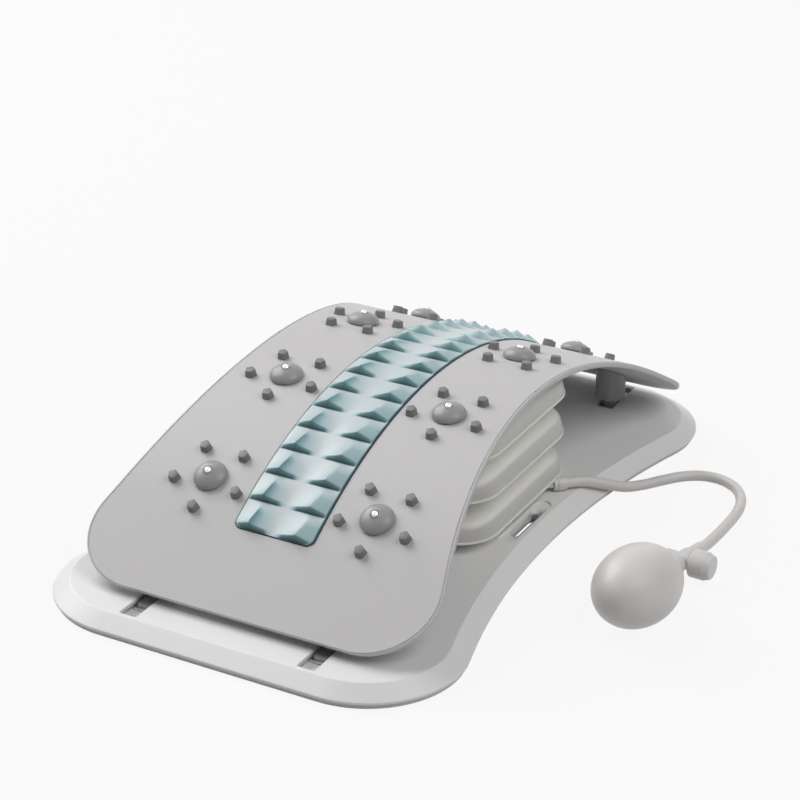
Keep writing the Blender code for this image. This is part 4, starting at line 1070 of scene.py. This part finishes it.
def make_pillow(name, index):
    """One pillow: its two halves at its own height, pressed flat under the board."""
    lower, upper = pillow_halves()
    rings = np.concatenate([lower[::-1], upper])
    rings[:, :, 2] += PLATE_TOP + (index + 0.5) * CHAMBER_PITCH - WELD_DROP
    rings[:, :, 1] += CHAMBER_Y
    rings[:, :, 2] = np.minimum(rings[:, :, 2], underside(rings[:, :, 1]) - PILLOW_GAP)
    obj = rings_object(f"pillow_{name}", rings, sharp=60)
    # Painted shade on the pinched walls next to the weld, stored as "wall".
    shares = np.repeat(wall_shade_shares(), rings.shape[1])
    point_values(obj, "wall", np.concatenate([shares, [0, 0]]))
    carry(obj, "base", chamber_film, "chamber_film", f"air_chamber_{name}")
    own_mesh(obj)
    return obj


pillows = [make_pillow(name, k) for k, name in enumerate(PILLOWS)]
print("pillows", [len(p.data.polygons) for p in pillows])

# %% [markdown]
# ## Pump
# The hose ends in a short sleeve on the valve. The valve body has an inlet stub on one side and
# the release knob on the other, and the bulb's neck is pushed over its spigot. All are turned
# about the pump's axis, which runs from the hose's end to the bulb's tip.

# %% Pump
def pump_frame():
    """Frame at the hose's end: Z runs up the pump, X along the knob's axis."""
    start = Vector(hose_line[-1])
    bulb = nodes["pump_bulb"]
    points = np.array([bulb.matrix_world @ v.co for v in bulb.data.vertices])
    far = points[np.argmax(np.linalg.norm(points - np.array(start), axis=1))]
    axis = (Vector(far) - start).normalized()
    across = Vector((0, 0, 1)).cross(axis).normalized()
    return axes_matrix(start, across, axis.cross(across), axis)


VALVE_CENTRE = 26.1 * MM
PUMP = pump_frame()
CROSS = PUMP @ Matrix.Translation((0, 0, VALVE_CENTRE)) @ Matrix.Rotation(math.pi / 2, 4, "Y")
BULB_START = 37.9
BULB_LENGTH = 70
BULB_RADIUS = 21.3
BULB_WIDEST = 0.54
NECK_RADIUS = 7.0
NECK_LENGTH = 7
PORT_AZIMUTH = math.radians(45)


def bulb_profile():
    """Neck, belly and round top: an ellipse above the widest place, drawn in below it.

    Below it the radius falls by 1 - (1 - fall^2.1)^1.15 of what the belly has over the neck.
    """
    t = np.linspace(0.01, BULB_WIDEST, 26)
    fall = (BULB_WIDEST - t) / BULB_WIDEST
    belly = NECK_RADIUS + (BULB_RADIUS - NECK_RADIUS) * (1 - fall**2.1) ** 1.15
    a = np.linspace(0, math.pi / 2, 26)[1:-1]
    t = np.concatenate([t, BULB_WIDEST + (1 - BULB_WIDEST) * np.sin(a)])
    radius = np.concatenate([belly, BULB_RADIUS * np.cos(a)])
    neck = [(4.7, 0.3), (6.5, 0.0), (6.95, 0.45), (NECK_RADIUS, 1.2), (NECK_RADIUS, 6.4)]
    profile = np.concatenate([neck, np.c_[radius, NECK_LENGTH + BULB_LENGTH * t]])
    return (profile + (0, BULB_START)) * MM


def fitting(name, profile, matrix, *stands_for, segments=40, body="base", softness=0.4):
    """A turned white plastic piece with softened edges."""
    piece = revolve(name, rounded(profile, softness) * MM, matrix, segments)
    return carry(piece, body, fitting_white, "fitting_plastic", *stands_for)


def make_pump():
    """Bulb, sleeve and valve body on the pump's axis, the stub and the knob's boss across it."""
    bulb = revolve("bulb", bulb_profile(), PUMP, 72)
    sleeve = rounded([(3.0, 0.3), (3.5, 0.4), (3.7, 2.0), (3.7, 16.3), (3.1, 16.3)], 0.4) * MM
    sleeve = revolve("sleeve", sleeve, PUMP, 40)
    valve = [(2.6, 16.6), (3.6, 16.6), (4.5, 17.4), (4.5, 20.8), (4.2, 21.4), (4.2, 32.6)]
    valve += [(6.6, 36.6), (6.6, 37.6), (4.3, 37.6), (4.3, 45.6), (3.6, 46.6), (1.5, 46.6)]
    stub = [(1.4, -6.0), (1.4, -9.6), (3.3, -9.6), (3.9, -8.8), (3.9, 0.0), (1.0, 0.0)]
    boss = [(3.0, 0.0), (4.6, 0.1), (4.6, 5.6), (1.9, 5.6), (1.9, 1.0)]
    return [
        carry(bulb, "base", pump_rubber, "pump_rubber", "pump_bulb"),
        carry(sleeve, "base", pump_rubber, "pump_rubber", "hose_sleeve"),
        fitting("valve", valve, PUMP, "valve_body", segments=48, softness=0.5),
        fitting("stub", stub, CROSS),
        fitting("boss", boss, CROSS),
    ]


def make_knob():
    """The release knob: a flat-ended grip that narrows to its outer end."""
    profile = [(1.9, 9.0), (1.9, 5.9), (7.1, 5.9), (7.7, 6.7)]
    profile += [(7.7, 14.6), (7.4, 14.9), (6.2, 17.9), (0.4, 17.9)]
    return fitting("knob", profile, CROSS, "release_knob", segments=72, body="knob", softness=0.5)


def make_port():
    """The hose's fitting in the lower pillow, in line with the hose's start."""
    heading = Vector((math.cos(PORT_AZIMUTH), math.sin(PORT_AZIMUTH), 0))
    matrix = facing(Vector(HOSE_ROUTE[0]) * MM, heading)
    profile = [(1.8, -13), (1.8, -8), (3.5, -8), (3.5, -5.8)]
    profile += [(3.95, -5.4), (3.95, -0.3), (3.1, -0.3)]
    return fitting("port", profile, matrix, "bag_port")


pump = make_pump() + [make_knob(), make_port()]
print("pump", [p.name for p in pump])

# %% [markdown]
# ## Finishes on the solids
# Feet, retainers, screws and the needle keep the solid's own shape, which is as fine as the
# photograph shows them.

# %% Solids that only get a finish
SOLID_FINISHES = {
    "foot": foot_grey,
    "retainer": fixing_steel,
    "screw": fixing_steel,
    "needle": fitting_white,
}
finished = [name for name in nodes if name.split("_")[-1] in SOLID_FINISHES]
for name in finished:
    nodes[name].data.materials.clear()
    nodes[name].data.materials.append(SOLID_FINISHES[name.split("_")[-1]])
print("finished solids", len(finished))

# %% [markdown]
# ## Studio
# The photograph's key light stands high on the left, so that whatever faces right or towards the
# viewer is darker. A weaker light stands high on the right and keeps level faces brighter than
# the walls beside them. Their levels were worked out from the tones of level and steep faces in
# the photograph, and let a colour render about as it is written. The background is white to the
# camera alone, and the floor keeps the object's shadow.

# %% Floor, world and lamps
FLOOR_SIZE = 6.0
FLOOR_DEPTH = 0.2 * MM
FLOOR_GLOW = 0.9
KEY_WAY = Vector((-0.70, 0.12, 0.70))
FILL_WAY = Vector((0.64, -0.05, 0.77))


def seen(wire):
    """1 for the camera's rays and for those that show the background in gloss or glass."""
    outputs = wire.node("ShaderNodeLightPath").output.node.outputs
    kinds = ("Camera", "Glossy", "Transmission")
    camera, glossy, through = (Wire(wire.tree, outputs[f"Is {kind} Ray"]) for kind in kinds)
    return wire.maths("MAXIMUM", camera, wire.maths("MAXIMUM", glossy, through))


def make_floor():
    """A pale floor that glows white to the camera, but less than fully, so that shadow shows."""
    made, place, shader = material("floor_white", Base_Color=(0.6, 0.6, 0.6, 1), Roughness=0.9)
    glow = place.node("ShaderNodeEmission", {}, {"Color": (1, 1, 1, 1), "Strength": 1.0})
    mix = place.node("ShaderNodeMixShader", {}, {0: seen(place) * FLOOR_GLOW, 2: glow})
    tree = made.node_tree
    tree.links.new(shader.outputs[0], mix.output.node.inputs[1])
    tree.links.new(mix.output, tree.nodes["Material Output"].inputs[0])
    corners = np.array([(-1, -1, 0), (1, -1, 0), (1, 1, 0), (-1, 1, 0)]) * FLOOR_SIZE / 2
    floor = mesh_object("floor", corners, [(0, 1, 2, 3)])
    floor.location.z = -FLOOR_DEPTH
    floor.data.materials.append(made)


def add_lamp(name, way, distance, size, level):
    """An area lamp whose light, falling straight on a surface, renders its colour times level.

    A lamp of P watts at distance d gives the level P / (pi d)^2.
    """
    data = bpy.data.lights.new(name, "AREA")
    data.size = size
    data.energy = level * (math.pi * distance) ** 2
    add_object(name, data).matrix_world = facing(way.normalized() * distance, way)


def make_world(level):
    """An even sky at a low level, white to the camera."""
    world = bpy.data.worlds.new("studio")
    world.use_nodes = True
    tree = world.node_tree
    back = tree.nodes["Background"]
    back.inputs["Color"].default_value = (1, 1, 1, 1)
    start = Wire(tree, back.outputs[0])
    strength = seen(start) * (1 - level) + level
    tree.links.new(strength.output, back.inputs["Strength"])
    bpy.context.scene.world = world


make_floor()
make_world(level=0.12)
add_lamp("key_lamp", KEY_WAY, distance=2.4, size=1.9, level=0.82)
add_lamp("fill_lamp", FILL_WAY, distance=2.6, size=1.8, level=0.38)
bpy.context.scene.view_settings.view_transform = "Standard"
